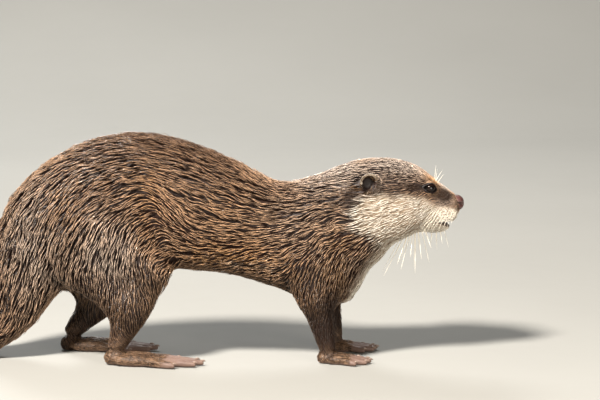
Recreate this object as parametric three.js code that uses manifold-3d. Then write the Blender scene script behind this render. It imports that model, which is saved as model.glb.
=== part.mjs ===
// An otter standing still with its back arched, at life size: the flesh of an Asian
// small-clawed otter, out to the tips of its coat, parted at the places where a
// person would name its parts. Millimetres, +X towards the nose, +Y to the
// animal's left, +Z up. The origin is on the floor, in the middle of the box
// that holds the animal.
//
// A few functions say how deep a point lies in the animal's flesh. Most parts are cut
// from lofts: rings along a curve, whose points are found by going out from the curve
// until the flesh ends. Feet, eyes, nose and ears are joined from simple shapes.
import * as THREE from 'three';
import { mergeVertices } from 'three/addons/utils/BufferGeometryUtils.js';
import { ParametricGeometry } from 'three/addons/geometries/ParametricGeometry.js';
import Module from 'manifold-3d';

const wasm = await Module();
wasm.setup();

// ---------------------------------------------------------------- driving sizes

const GAP = 0.3; // left between two parts that meet
const V = (x, y, z) => new THREE.Vector3(x, y, z);

// The midline from nose to tail tip: where it runs, then how far the flesh reaches
// above it, below it and to each side. `y` is the tail's swing to one side.
const SPINE = [
  { at: 'nose', x: 208, z: 143, up: 8, down: 9, side: 12 },
  { at: 'muzzle', x: 197, z: 143, up: 16, down: 18, side: 18 },
  { at: 'eyes', x: 180, z: 144, up: 26, down: 26, side: 25 },
  { at: 'brain', x: 156, z: 147, up: 37, down: 36, side: 34 },
  { at: 'nape', x: 127, z: 143, up: 42, down: 50, side: 38 },
  { at: 'neck', x: 97, z: 129, up: 44, down: 54, side: 41 },
  { at: 'shoulder', x: 64, z: 118, up: 47, down: 56, side: 43 },
  { at: 'ribs', x: 29, z: 123, up: 43, down: 50, side: 46 },
  { at: 'waist', x: -7, z: 135, up: 49, down: 56, side: 49 },
  { at: 'loin', x: -46, z: 143, up: 58, down: 60, side: 51 },
  { at: 'hump', x: -83, z: 144, up: 66, down: 60, side: 51 },
  { at: 'hips', x: -121, z: 134, up: 66, down: 54, side: 48 },
  { at: 'rump', x: -158, z: 112, up: 59, down: 42, side: 41 },
  { at: 'dock', x: -186, z: 78, up: 41, down: 32, side: 32 },
  { at: 'tail_root', x: -205, z: 44, up: 29, down: 26, side: 26 },
  { at: 'tail_bend', x: -240, z: 21.5, y: 1, up: 22, down: 21.5, side: 22 },
  { at: 'tail_third', x: -290, z: 15.5, y: 7, up: 16, down: 16, side: 18 },
  { at: 'tail_half', x: -342, z: 11.5, y: 16, up: 12, down: 12, side: 14 },
  { at: 'tail_thin', x: -392, z: 8, y: 21, up: 8.5, down: 8.5, side: 10 },
  { at: 'tail_tip', x: -440, z: 4.5, y: 18, up: 4.5, down: 5, side: 5.5 },
];
const END_DEPTH = 6; // how far the flesh rounds over past the first and last of these

// Swellings of the head and chest on that outline: middle, half sizes, and how
// widely each melts into what is round it. A swelling off the midline is a pair.
const SWELLINGS = [
  { of: 'whisker pad', middle: [197, 9, 136.5], half: [15.5, 11, 9.5], melt: 6 },
  { of: 'chin', middle: [188, 0, 124.5], half: [16, 14, 8], melt: 5 },
  { of: 'cheek', middle: [150, 22, 136], half: [27, 15, 22], melt: 12 },
  { of: 'brow', middle: [177, 14, 161], half: [13, 8, 6], melt: 8 },
  { of: 'breast', middle: [89, 0, 79], half: [34, 38, 35], melt: 14 },
  { of: 'shoulder blade', middle: [72, 26, 108], half: [30, 20, 38], melt: 16 },
  { of: 'haunch', middle: [-118, 25, 122], half: [44, 30, 42], melt: 18 },
];

const EYE = { x: 182.5, y: 19.6, z: 160.2, radius: 5.8 };
const NOSE = { x: 207.5, z: 144.5, half: [8, 9.5, 7.4] };
const NOSTRIL = { x: 214, y: 5.6, z: 143.6, half: [3.2, 1.9, 1.7], turn: 0.5 };
const MOUTH = { cornerX: 177, z: 128.6, thick: 0.5, drop: 0.03, block: [60, 80, 40] };
const EAR = { x: 129, y: 32.5, z: 167.5, half: [9.2, 5, 10], turn: 0.5, lean: 0.3 };
const EAR_CUP = { half: [7, 5, 7.8], forward: 0.5, out: 3.1, down: 0.6 };

// A foot's shape, as shares: of its length, its width, the ankle's radius, or a digit's
// radius, which each name says.
const FOOT = {
  palmOfLength: 0.52,
  palmHalfOfPalm: 0.62,
  palmMiddleOfPalm: 0.42,
  palmHalfOfWidth: 0.45,
  palmHeightOfRadius: 0.86,
  palmSunk: 0.72,
  heelHalfOfRadius: [1.25, 1, 0.95],
  heelBackOfRadius: 0.3,
  heelHeightOfRadius: 0.8,
  outerToeShorter: 0.075,
  rootSpreadOfWidth: 0.15,
  tipSpreadOfWidth: 0.27,
  tipHeightOfDigit: 0.86,
  webThick: 2.4,
  webFromOfPalm: 0.4,
  webHalfOfWidth: 0.3,
  clawAheadOfDigit: 0.62,
  clawAboveOfDigit: 0.5,
};
const TOES = [-2, -1, 0, 1, 2];
const CLAW = { radius: 1.3, length: 3.6 };

// Each leg: joints from the trunk to the ankle or wrist, as [x, y, z, radius] with y
// out from the midline; `muscle` is the flesh behind the thigh, `axis` runs down the
// middle of the leg, `parting` is the capsule that parts it from the trunk, and `cuts`
// are the heights where it is parted again.
const FORE_RIGHT = {
  joints: [[74, 22, 104, 24], [78, 34, 62, 14.5], [90, 31, 12, 7]],
  axis: [[74, 21, 123], [77, 32, 66], [84, 33, 38], [90, 31, 7]],
  parting: { ends: [[72, 44, 100], [80, 38, 46]], radius: 29 },
  cuts: { knee: 50, foot: 15 },
  rings: 14,
  sides: 12,
  paw: { heading: 6, length: 40, width: 27, digit: 3.2, web: 0, radius: 7 },
};
const FORE_LEFT = {
  joints: [[80, 22, 104, 24], [87, 34, 62, 14.5], [97, 31, 12, 7]],
  axis: [[80, 21, 123], [85, 32, 66], [91, 33, 38], [97, 31, 7]],
  parting: { ends: [[78, 44, 100], [88, 38, 46]], radius: 29 },
  cuts: { knee: 50, foot: 15 },
  rings: 14,
  sides: 12,
  paw: { heading: 2, length: 40, width: 27, digit: 3.2, web: 0, radius: 7 },
};
const HIND_RIGHT = {
  joints: [[-112, 22, 122, 36], [-72, 39, 88, 19.5], [-103, 38, 18, 8.6]],
  muscle: [[-150, 24, 104, 26], [-93, 40, 52, 13]],
  axis: [[-114, 20, 150], [-98, 35, 88], [-92, 40, 52], [-103, 38, 10]],
  parting: { ends: [[-114, 52, 118], [-84, 46, 72]], radius: 46 },
  cuts: { knee: 66, foot: 22 },
  rings: 16,
  sides: 16,
  paw: { heading: 5, length: 80, width: 34, digit: 3.6, web: 0.8, radius: 8.4 },
};
const HIND_LEFT = {
  joints: [[-122, 22, 120, 36], [-90, 40, 80, 20], [-148, 36, 19, 8.6]],
  muscle: [[-165, 22, 100, 24], [-124, 38, 50, 13]],
  axis: [[-124, 20, 148], [-114, 36, 84], [-121, 40, 52], [-148, 36, 11]],
  parting: { ends: [[-124, 52, 116], [-100, 46, 70]], radius: 46 },
  cuts: { knee: 62, foot: 23 },
  rings: 16,
  sides: 16,
  paw: { heading: -4, length: 80, width: 34, digit: 3.6, web: 0.8, radius: 8.4 },
};

// ------------------------------------------------------------------ flesh fields

const melt = (a, b, width) => {
  const near = Math.max(width - Math.abs(a - b), 0) / width;
  return Math.min(a, b) - (near * near * width) / 4;
};

const lerp = THREE.MathUtils.lerp;
const line = (places) => new THREE.CatmullRomCurve3(places, false, 'catmullrom', 0.5);
const spineLine = line(SPINE.map((s) => V(s.x, s.y ?? 0, s.z)));
const spineSizes = line(SPINE.map((s) => V(s.up, s.down, s.side)));

// The way a section faces, with `side` level and `up` square to both.
function facing(curve, t) {
  const along = curve.getTangent(t);
  const side = V(along.y, -along.x, 0).normalize();
  return { along, side, up: V().crossVectors(side, along) };
}

const SECTIONS = 220;
const sections = Array.from({ length: SECTIONS + 1 }, (_, i) => {
  const t = i / SECTIONS;
  return { centre: spineLine.getPoint(t), size: spineSizes.getPoint(t), ...facing(spineLine, t) };
});

// A section is a little fuller than an ellipse, whose power would be 2.
const FULLNESS = 2.25;
const fullHypot = (...shares) =>
  shares.reduce((sum, share) => sum + Math.abs(share) ** FULLNESS, 0) ** (1 / FULLNESS);

function spineField(p) {
  let i = 0;
  let least = Infinity;
  sections.forEach((s, k) => {
    const d = p.distanceToSquared(s.centre);
    if (d < least) [least, i] = [d, k];
  });
  const here = sections[i];
  const ahead = p.clone().sub(here.centre).dot(here.along);
  const next = sections[THREE.MathUtils.clamp(i + Math.sign(ahead), 0, SECTIONS)];
  const pitch = next.centre.distanceTo(here.centre);
  const share = pitch > 0 ? Math.min(Math.abs(ahead) / pitch, 1) : 0;
  const away = p.clone().sub(V().lerpVectors(here.centre, next.centre, share));
  const size = V().lerpVectors(here.size, next.size, share);
  const beyond = pitch > 0 ? 0 : away.dot(here.along);
  const side = away.dot(V().lerpVectors(here.side, next.side, share));
  const up = away.dot(V().lerpVectors(here.up, next.up, share));
  const reach = fullHypot(side / size.z, up / (up > 0 ? size.x : size.y), beyond / END_DEPTH);
  return reach > 0 ? Math.hypot(side, up, beyond) * (1 - 1 / reach) : -size.z;
}

function ellipsoidField(p, [x, y, z], [a, b, c]) {
  const away = V(p.x - x, Math.abs(p.y) - y, p.z - z);
  const reach = Math.hypot(away.x / a, away.y / b, away.z / c);
  return reach > 0 ? away.length() * (1 - 1 / reach) : -Math.min(a, b, c);
}

// A bone's length of flesh, rounded at both ends.
function boneField(p, [ax, ay, az, ar], [bx, by, bz, br]) {
  const bone = V(bx - ax, by - ay, bz - az);
  const away = V(p.x - ax, p.y - ay, p.z - az);
  const t = THREE.MathUtils.clamp(away.dot(bone) / bone.lengthSq(), 0, 1);
  return away.addScaledVector(bone, -t).length() - lerp(ar, br, t);
}

// The head, neck, trunk and tail, without the legs.
const trunkFlesh = (p) =>
  SWELLINGS.reduce(
    (depth, s) => melt(depth, ellipsoidField(p, s.middle, s.half), s.melt),
    spineField(p),
  );

const JOINT_MELT = 9;
const TRUNK_MELT = 16;
const TUCKED = 1.6; // a leg's flesh starts this far under the trunk's, so that it rises from it
const FILLET = 13; // and runs out no further than this from the leg itself

function legFlesh(leg, side) {
  const flip = ([x, y, z, r]) => [x, side * y, z, r];
  const [top, middle, end] = leg.joints.map(flip);
  const muscle = leg.muscle?.map(flip);
  return (p) => {
    let depth = melt(boneField(p, top, middle), boneField(p, middle, end), JOINT_MELT);
    if (muscle) depth = melt(depth, boneField(p, ...muscle), JOINT_MELT * 2);
    return Math.max(melt(depth, trunkFlesh(p) + TUCKED, TRUNK_MELT), depth - FILLET);
  };
}

// ------------------------------------------------------------- solids and lofts

function solidOf(geometry) {
  const bare = geometry.clone();
  bare.deleteAttribute('normal');
  bare.deleteAttribute('uv');
  const merged = mergeVertices(bare, 1e-3);
  const index = merged.index.array;
  const faces = [];
  for (let i = 0; i < index.length; i += 3) {
    const [a, b, c] = index.slice(i, i + 3);
    if (a !== b && b !== c && c !== a) faces.push(a, b, c);
  }
  const mesh = { numProp: 3, vertProperties: merged.attributes.position.array };
  return new wasm.Manifold(new wasm.Mesh({ ...mesh, triVerts: new Uint32Array(faces) }));
}

function geometryOf(solid) {
  const mesh = solid.getMesh();
  const geometry = new THREE.BufferGeometry();
  geometry.setAttribute('position', new THREE.BufferAttribute(mesh.vertProperties, 3));
  geometry.setIndex(new THREE.BufferAttribute(mesh.triVerts, 1));
  return geometry;
}

const STEP_OUT = 3;
const HALVINGS = 12;

// Goes from `from` along `way` until the flesh ends, at most `limit`.
function surfacePoint(field, level, from, way, limit) {
  const depth = (r) => field(from.clone().addScaledVector(way, r)) - level;
  let far = STEP_OUT;
  while (far < limit && depth(far) < 0) far += STEP_OUT;
  let near = far - STEP_OUT;
  far = Math.min(far, limit);
  for (let i = 0; i < HALVINGS && far < limit; i++) {
    const middle = (near + far) / 2;
    if (depth(middle) < 0) near = middle;
    else far = middle;
  }
  return from.clone().addScaledVector(way, far);
}

// A closed loft from t0 to t1 on a curve. Its ends are flat, or go to a point where
// `startTip` or `endTip` says so. `level` grows it by that much, and `frame` turns
// its rings some other way than square to the curve.
function loft(curve, t0, t1, rings, sides, field, options = {}) {
  const { level = 0, limit = 120, startTip = false, endTip = false, frame } = options;
  const ring = (t, angle) => {
    const { side, up } = frame?.() ?? facing(curve, t);
    const way = up.multiplyScalar(Math.cos(angle)).addScaledVector(side, Math.sin(angle));
    return surfacePoint(field, level, curve.getPoint(t), way, limit);
  };
  const pole = (t, sign, tip) => {
    const centre = curve.getPoint(t);
    const way = curve.getTangent(t).multiplyScalar(sign);
    return tip ? surfacePoint(field, level, centre, way, limit) : centre;
  };
  const start = pole(t0, -1, startTip);
  const end = pole(t1, 1, endTip);
  const stacks = rings + 1;
  const surface = (u, v, target) => {
    const angle = 2 * Math.PI * (u % 1);
    const row = v * stacks;
    if (row < 1) target.lerpVectors(start, ring(t0, angle), row);
    else if (row > rings) target.lerpVectors(ring(t1, angle), end, row - rings);
    else target.copy(ring(lerp(t0, t1, (row - 1) / (rings - 1)), angle));
  };
  return solidOf(new ParametricGeometry(surface, sides, stacks));
}

const FLOOR = solidOf(new THREE.BoxGeometry(1200, 400, 60).translate(0, 0, -30));
const otherHalf = (side) =>
  solidOf(new THREE.BoxGeometry(1200, 200, 600).translate(0, -side * (100 - GAP / 2), 200));

// ------------------------------------------------------------------------- parts

const colours = {
  coat: '#4a3426',
  cream: '#c9b79a',
  bare_skin: '#8d7a76',
  nose: '#5a3b3d',
  eye: '#120d0b',
};

const otter = new THREE.Group();

// Adds a part to the animal, without any shaving that a cut has left beside it.
function addPart(name, cutSolid, finish, roughness = 0.7) {
  const [solid] = cutSolid.decompose().sort((a, b) => b.volume() - a.volume());
  const material = new THREE.MeshStandardMaterial({
    color: colours[finish],
    roughness,
    metalness: 0,
  });
  const mesh = new THREE.Mesh(geometryOf(solid), material);
  mesh.name = name;
  otter.add(mesh);
}

const spineLength = spineLine.getLength();
const tGap = GAP / spineLength; // the gap between lengths, as a share of the midline
const tAt = (name, shift = 0) =>
  (SPINE.findIndex((s) => s.at === name) + shift) / (SPINE.length - 1);

// Where the neck, trunk and tail are parted, as shares of the midline.
const HEAD_END = tAt('nape', 0.1);
const NECK_END = tAt('neck', 0.45);
const CHEST_END = tAt('waist', -0.4);
const BELLY_END = tAt('hump', -0.3);
const TAIL_START = tAt('dock');
const TAIL_CUTS = [tAt('tail_third'), tAt('tail_half', 0.5)];

const grown = { level: GAP };
const length = (t0, t1, rings, sides, options) =>
  loft(spineLine, t0 + tGap / 2, t1 - tGap / 2, rings, sides, trunkFlesh, options);
const neckGrown = length(HEAD_END, NECK_END, 5, 20, grown);
addPart('neck', length(HEAD_END, NECK_END, 5, 20), 'coat');
const tailGrown = length(TAIL_START, TAIL_CUTS[0], 8, 16, grown);
addPart('tail_base', length(TAIL_START, TAIL_CUTS[0], 8, 16).subtract(FLOOR), 'coat');
addPart('tail_middle', length(TAIL_CUTS[0], TAIL_CUTS[1], 6, 12).subtract(FLOOR), 'coat');
const tailEnd = loft(spineLine, TAIL_CUTS[1] + tGap / 2, 1, 6, 10, trunkFlesh, { endTip: true });
addPart('tail_end', tailEnd.subtract(FLOOR), 'coat');

const ball = (radius, across = 16) => new THREE.SphereGeometry(radius, across, across / 2);
const blob = ([a, b, c], across = 16) => ball(1, across).scale(a, b, c);

const makeWholeHead = (level) =>
  loft(spineLine, 0, HEAD_END - tGap / 2, 17, 22, trunkFlesh, { startTip: true, level });

// The head, with sockets for the eyes and a seat for the nose; the lower jaw is
// parted from it along the closed mouth.
function makeHead() {
  const whole = makeWholeHead(0);
  const noseAt = (grow) =>
    solidOf(blob(NOSE.half.map((h) => h + grow), 12).translate(NOSE.x, 0, NOSE.z));
  const jawBlock = (grow) => {
    const [long, wide, high] = MOUTH.block;
    const block = new THREE.BoxGeometry(long, wide, high);
    block.translate(long / 2 - grow, 0, grow - (high + MOUTH.thick) / 2);
    return solidOf(block.rotateY(-MOUTH.drop).translate(MOUTH.cornerX, 0, MOUTH.z));
  };
  let head = whole.subtract(jawBlock(GAP)).subtract(noseAt(GAP));
  let nose = noseAt(0);
  for (const side of [-1, 1]) {
    const eye = (grow) =>
      solidOf(ball(EYE.radius + grow, 10).translate(EYE.x, side * EYE.y, EYE.z));
    head = head.subtract(eye(GAP));
    addPart(side < 0 ? 'eye_right' : 'eye_left', eye(0), 'eye', 0.08);
    const nostril = blob(NOSTRIL.half, 6).rotateZ(-side * NOSTRIL.turn);
    nose = nose.subtract(solidOf(nostril.translate(NOSTRIL.x, side * NOSTRIL.y, NOSTRIL.z)));
  }
  addPart('head', head, 'coat');
  addPart('lower_jaw', whole.intersect(jawBlock(0)).subtract(noseAt(GAP)), 'cream');
  addPart('nose', nose, 'nose', 0.4);
}
makeHead();

// A small round ear: a cup that faces out and forward, standing on the side of the head.
const headGrown = makeWholeHead(GAP);
function makeEar(side) {
  const outer = blob(EAR.half, 10);
  const inner = blob(EAR_CUP.half, 8);
  inner.translate(EAR_CUP.forward, side * EAR_CUP.out, -EAR_CUP.down);
  const place = (shape) => {
    shape.rotateX(side * EAR.lean).rotateZ(-side * EAR.turn);
    return solidOf(shape.translate(EAR.x, side * EAR.y, EAR.z));
  };
  const ear = place(outer).subtract(place(inner)).subtract(headGrown).subtract(neckGrown);
  addPart(side < 0 ? 'ear_right' : 'ear_left', ear, 'coat');
}
[-1, 1].forEach(makeEar);

// A toe's profile along +Y, from inside the palm to its rounded tip.
const toeProfile = (digit, bone) =>
  [
    [0, -digit],
    [1.25 * digit, 0],
    [digit, 0.84 * bone],
    [0.6 * digit, bone + 0.8 * digit],
    [0, bone + digit],
  ].map(([radius, along]) => new THREE.Vector2(radius, along));

// A foot: heel, palm, five digits that touch the floor with a small claw each, and the
// web between them as far as `web` says. It is made pointing along +X from the ankle.
function makeFoot(joint, side, { heading, length, width, digit, web, radius }) {
  const palmLength = length * FOOT.palmOfLength;
  const palmHeight = radius * FOOT.palmHeightOfRadius;
  const palmHalf = [palmLength * FOOT.palmHalfOfPalm, width * FOOT.palmHalfOfWidth, palmHeight];
  const palm = blob(palmHalf, 9);
  palm.translate(palmLength * FOOT.palmMiddleOfPalm, 0, palmHeight * FOOT.palmSunk);
  const heel = blob(FOOT.heelHalfOfRadius.map((share) => share * radius), 8);
  heel.translate(-radius * FOOT.heelBackOfRadius, 0, radius * FOOT.heelHeightOfRadius);
  let foot = solidOf(palm).add(solidOf(heel));
  const webCorners = [];
  for (const i of TOES) {
    const reach = length * (1 - FOOT.outerToeShorter * i * i);
    const rootY = i * width * FOOT.rootSpreadOfWidth;
    const tipY = i * width * FOOT.tipSpreadOfWidth;
    const root = V(palmHalf[0], rootY, palmHeight * FOOT.palmSunk);
    const tip = V(reach - digit, tipY, digit * FOOT.tipHeightOfDigit);
    const bone = tip.clone().sub(root);
    const profile = toeProfile(digit, bone.length());
    const towards = new THREE.Quaternion().setFromUnitVectors(V(0, 1, 0), bone.normalize());
    const toe = new THREE.LatheGeometry(profile, 5).applyQuaternion(towards);
    foot = foot.add(solidOf(toe.translate(root.x, root.y, root.z)));
    const claw = new THREE.ConeGeometry(CLAW.radius, CLAW.length, 3).applyQuaternion(towards);
    const ahead = digit * FOOT.clawAheadOfDigit;
    claw.translate(tip.x + ahead, tip.y, tip.z + digit * FOOT.clawAboveOfDigit);
    foot = foot.add(solidOf(claw));
    webCorners.push(root.lerp(tip, web));
  }
  if (web > 0) {
    const from = V(palmLength * FOOT.webFromOfPalm, width * FOOT.webHalfOfWidth);
    const fan = new THREE.Shape();
    fan.moveTo(from.x, -from.y);
    webCorners.forEach((corner) => fan.lineTo(corner.x, corner.y));
    fan.lineTo(from.x, from.y);
    const extrusion = { depth: FOOT.webThick, bevelEnabled: false };
    const sheet = new THREE.ExtrudeGeometry(fan, extrusion).translate(0, 0, digit / 2);
    foot = foot.add(solidOf(sheet));
  }
  const place = new THREE.Matrix4().makeRotationZ(THREE.MathUtils.degToRad(side * heading));
  place.setPosition(joint[0], side * joint[1], 0);
  return solidOf(geometryOf(foot).applyMatrix4(place));
}

// The flesh of a leg in level rings, and the capsule along its upper bone that parts
// it from the trunk. Both are on one side of the animal.
const levelRing = () => ({ side: V(1, 0, 0), up: V(0, 1, 0) });

function makeLeg(leg, side) {
  const axis = line(leg.axis.map(([x, y, z]) => V(x, side * y, z)));
  const flesh = loft(axis, 0, 1, leg.rings, leg.sides, legFlesh(leg, side), { frame: levelRing });
  const [high, low] = leg.parting.ends.map(([x, y, z]) => V(x, side * y, z));
  const along = low.clone().sub(high);
  const turn = new THREE.Quaternion().setFromUnitVectors(V(0, 1, 0), along.clone().normalize());
  const centre = V().lerpVectors(high, low, 0.5);
  const capsule = (grow) => {
    const shape = new THREE.CapsuleGeometry(leg.parting.radius + grow, along.length(), 3, 14);
    shape.applyQuaternion(turn).translate(centre.x, centre.y, centre.z);
    return solidOf(shape).subtract(otherHalf(side));
  };
  return { leg, side, flesh, inside: capsule(0), outside: capsule(GAP) };
}

const legs = [
  { spec: FORE_RIGHT, side: -1, names: ['upper_arm_right', 'forearm_right', 'forefoot_right'] },
  { spec: FORE_LEFT, side: 1, names: ['upper_arm_left', 'forearm_left', 'forefoot_left'] },
  { spec: HIND_RIGHT, side: -1, names: ['thigh_right', 'shank_right', 'hind_foot_right'] },
  { spec: HIND_LEFT, side: 1, names: ['thigh_left', 'shank_left', 'hind_foot_left'] },
].map(({ spec, side, names }) => ({ names, ...makeLeg(spec, side) }));

// The trunk with the upper legs on it; each leg is then cut out along its capsule, and
// level at the knee or elbow and above the foot.
const slab = (low, high) =>
  solidOf(new THREE.BoxGeometry(900, 300, high - low).translate(0, 0, (low + high) / 2));

const trunkGrown = length(NECK_END, TAIL_START, 19, 20, grown);
let trunk = length(NECK_END, TAIL_START, 19, 20);
for (const { leg, flesh } of legs) trunk = trunk.add(flesh.intersect(slab(leg.cuts.knee, 400)));
trunk = trunk.subtract(neckGrown).subtract(tailGrown);

for (const { names, leg, side, flesh, inside } of legs) {
  const { knee, foot } = leg.cuts;
  addPart(names[0], trunk.intersect(inside).intersect(slab(knee + GAP / 2, 400)), 'coat');
  const lower = flesh.intersect(slab(foot + GAP / 2, knee - GAP / 2));
  addPart(names[1], lower.subtract(trunkGrown).subtract(neckGrown).subtract(tailGrown), 'coat');
  const whole = makeFoot(leg.joints[2], side, leg.paw).add(flesh);
  addPart(names[2], whole.intersect(slab(0, foot - GAP / 2)), 'bare_skin');
}

for (const { outside } of legs) trunk = trunk.subtract(outside);

// A block that holds the flesh from t0 to t1, with faces square to the midline.
function between(t0, t1) {
  const half = (t, sign) => {
    const along = spineLine.getTangent(t);
    const block = new THREE.BoxGeometry(600, 600, 600).translate(0, 0, sign * (300 + GAP / 2));
    block.applyQuaternion(new THREE.Quaternion().setFromUnitVectors(V(0, 0, 1), along));
    return solidOf(block.translate(...spineLine.getPoint(t).toArray()));
  };
  return half(t0, 1).intersect(half(t1, -1));
}
addPart('chest', trunk.intersect(between(0, CHEST_END)), 'coat');
addPart('belly', trunk.intersect(between(CHEST_END, BELLY_END)), 'coat');
addPart('hindquarters', trunk.intersect(between(BELLY_END, TAIL_START)), 'coat');

// The origin goes on the floor under the middle of the animal's box.
const box = new THREE.Box3().setFromObject(otter);
const middle = box.getCenter(V());
otter.position.set(-middle.x, -middle.y, -box.min.z);

export default otter;
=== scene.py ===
# %% [markdown]
# # A small-clawed otter, life-size and still
# The model stands as a museum shows such an animal: a wet coat in pointed locks over one
# skin, with eyes, nose pad, claws and whiskers as pieces of their own. The CAD solids give
# the place and size of everything. Each step below says what a piece is, how it could be
# made, and why this way was chosen.

import math

import bmesh
import bpy
import numpy as np
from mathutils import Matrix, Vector
from mathutils.bvhtree import BVHTree


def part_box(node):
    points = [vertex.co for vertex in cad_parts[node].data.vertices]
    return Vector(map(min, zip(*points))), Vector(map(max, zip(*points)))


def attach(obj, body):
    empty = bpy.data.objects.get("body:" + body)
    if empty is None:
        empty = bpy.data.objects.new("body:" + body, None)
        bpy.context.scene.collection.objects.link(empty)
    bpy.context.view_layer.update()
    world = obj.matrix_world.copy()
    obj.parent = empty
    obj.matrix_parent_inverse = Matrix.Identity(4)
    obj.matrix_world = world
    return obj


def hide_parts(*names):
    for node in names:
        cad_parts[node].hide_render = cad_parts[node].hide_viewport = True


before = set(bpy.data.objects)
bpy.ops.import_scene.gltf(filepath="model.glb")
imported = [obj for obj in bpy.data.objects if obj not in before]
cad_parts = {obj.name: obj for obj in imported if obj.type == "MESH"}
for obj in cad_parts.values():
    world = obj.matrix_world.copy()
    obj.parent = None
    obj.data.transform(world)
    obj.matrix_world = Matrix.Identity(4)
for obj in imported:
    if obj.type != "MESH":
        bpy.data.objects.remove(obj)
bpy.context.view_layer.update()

# %% [markdown]
# ## The drawing and its measures
# An animal is easiest to lay out from a drawing with the shoulder as its zero: x is ahead,
# y out to the side and z up, in millimetres. Typing places in the frame's own metres would
# work too, but one shift, measured between the eyes, keeps every number readable.

# %% From the drawing to the frame
MM = 0.001
EYE = np.array((182.5, 19.6, 160.2))
SIDES = {"right": -1.0, "left": 1.0}


def middle(node):
    low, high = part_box(node)
    return (np.array(low) + np.array(high)) / 2


between_eyes = (middle("eye_right") + middle("eye_left")) / 2 / MM
SHIFT = np.array((between_eyes[0] - EYE[0], between_eyes[1], 0.0))


def placed(drawn_points):
    """Points of the drawing, in mm, as points of the frame, in m."""
    return (np.asarray(drawn_points, float) + SHIFT) * MM


def drawn(points):
    """Points of the frame, in m, as points of the drawing, in mm."""
    return np.asarray(points, float) / MM - SHIFT


print("shift of the drawing, mm:", SHIFT.round(2))

# %% [markdown]
# ## Camera, floor and light
# The camera stands level with the flank, a few paces off, so the animal is seen almost
# from the side. A large soft lamp above and behind the shoulder models the locks, and a
# weaker one fills the shaded side. A pale floor that curves up behind is a plain studio.

# %% Camera
AIM = placed((64.4, -1.0, 146.8))
CAMERA_ELEVATION = math.radians(8)
CAMERA_DISTANCE = 3.0
SENSOR = 36.0
FIELD_WIDTH = 0.552

camera_data = bpy.data.cameras.new("studio_camera")
camera = bpy.data.objects.new("studio_camera", camera_data)
camera_data.sensor_width = SENSOR
camera_data.lens = SENSOR * CAMERA_DISTANCE / FIELD_WIDTH
camera_data.clip_end = 50
back = Vector((0, -math.cos(CAMERA_ELEVATION), math.sin(CAMERA_ELEVATION)))
camera.location = Vector(AIM) + back * CAMERA_DISTANCE
camera.rotation_mode = "QUATERNION"
camera.rotation_quaternion = (-back).to_track_quat("-Z", "Y")
bpy.context.scene.collection.objects.link(camera)
bpy.context.scene.camera = camera
print("lens, mm:", round(camera_data.lens, 1))

# %% Colours by their usual web codes
def tint(code):
    """A web colour code as the linear colour that a shader takes."""
    parts = [int(code[i:i + 2], 16) / 255 for i in (1, 3, 5)]
    linear = [p / 12.92 if p <= 0.04045 else ((p + 0.055) / 1.055) ** 2.4 for p in parts]
    return (*linear, 1.0)


# %% Lights and world
def lamp(name, place, size, watts, colour):
    """A round soft lamp that faces the shoulder. Its place and size are in metres."""
    data = bpy.data.lights.new(name, "AREA")
    data.shape = "DISK"
    data.size = size
    data.energy = watts
    data.color = tint(colour)[:3]
    made = bpy.data.objects.new(name, data)
    made.location = place
    made.rotation_mode = "QUATERNION"
    made.rotation_quaternion = (Vector(AIM) - Vector(place)).to_track_quat("-Z", "Y")
    bpy.context.scene.collection.objects.link(made)


lamp("key_light", (-0.85, -1.6, 2.1), 0.5, 310, "#fff7ee")
lamp("fill_light", (1.7, -2.4, 0.5), 1.2, 66, "#fff4e6")
lamp("back_light", (-0.4, 1.9, 1.6), 0.9, 55, "#f8f8f8")

world = bpy.data.worlds.new("studio")
bpy.context.scene.world = world
world.use_nodes = True
sky = world.node_tree.nodes["Background"]
sky.inputs["Color"].default_value = tint("#ecebe8")
sky.inputs["Strength"].default_value = 0.16
bpy.context.scene.view_settings.view_transform = "Standard"

# %% [markdown]
# ## Small tools
# Numpy moves thousands of points at once, which a loop over Blender's vertices can't do in
# the same time. These helpers build meshes from arrays, read them back, and give the soft
# falloffs that all the modelling below is made of.

# %% Arrays to meshes and back
def mesh_of(name, points, corners, sizes):
    """A mesh from points in m, the corners of all faces in one row, and each face's size."""
    me = bpy.data.meshes.new(name)
    me.vertices.add(len(points))
    me.vertices.foreach_set("co", np.asarray(points, np.float32).ravel())
    me.loops.add(len(corners))
    me.loops.foreach_set("vertex_index", np.asarray(corners, np.int32))
    me.polygons.add(len(sizes))
    starts = np.concatenate(([0], np.cumsum(sizes)[:-1]))
    me.polygons.foreach_set("loop_start", starts.astype(np.int32))
    me.update(calc_edges=True)
    return me


def shown(name, me, material):
    """A mesh as an object in the scene, shaded smooth, that wears one material."""
    made = bpy.data.objects.new(name, me)
    bpy.context.scene.collection.objects.link(made)
    me.polygons.foreach_set("use_smooth", np.ones(len(me.polygons), bool))
    me.materials.clear()
    me.materials.append(material)
    return made


def piece_of(name, me, material):
    """The same, as a piece of the animal. All of them ride on its one body."""
    made = shown(name, me, material)
    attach(made, "root")
    return made


def rows_of(items, what):
    """What each item of a mesh holds, as rows of three numbers."""
    found = np.empty(len(items) * 3, np.float32)
    items.foreach_get(what, found)
    return found.reshape(-1, 3).astype(float)


def places(me):
    return rows_of(me.vertices, "co")


def normals(me):
    return rows_of(me.vertex_normals, "vector")


def set_places(me, points):
    me.vertices.foreach_set("co", np.asarray(points, np.float32).ravel())
    me.update()


def write_value(me, name, values):
    """One number for each vertex, which a material reads by that name."""
    layer = me.attributes.get(name) or me.attributes.new(name, "FLOAT", "POINT")
    layer.data.foreach_set("value", np.asarray(values, np.float32))


# %% Soft falloffs
def ramp(low, high, x):
    """0 below low, 1 above high, and a smooth rise between them."""
    t = np.clip((x - low) / (high - low), 0, 1)
    return t * t * (3 - 2 * t)


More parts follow.
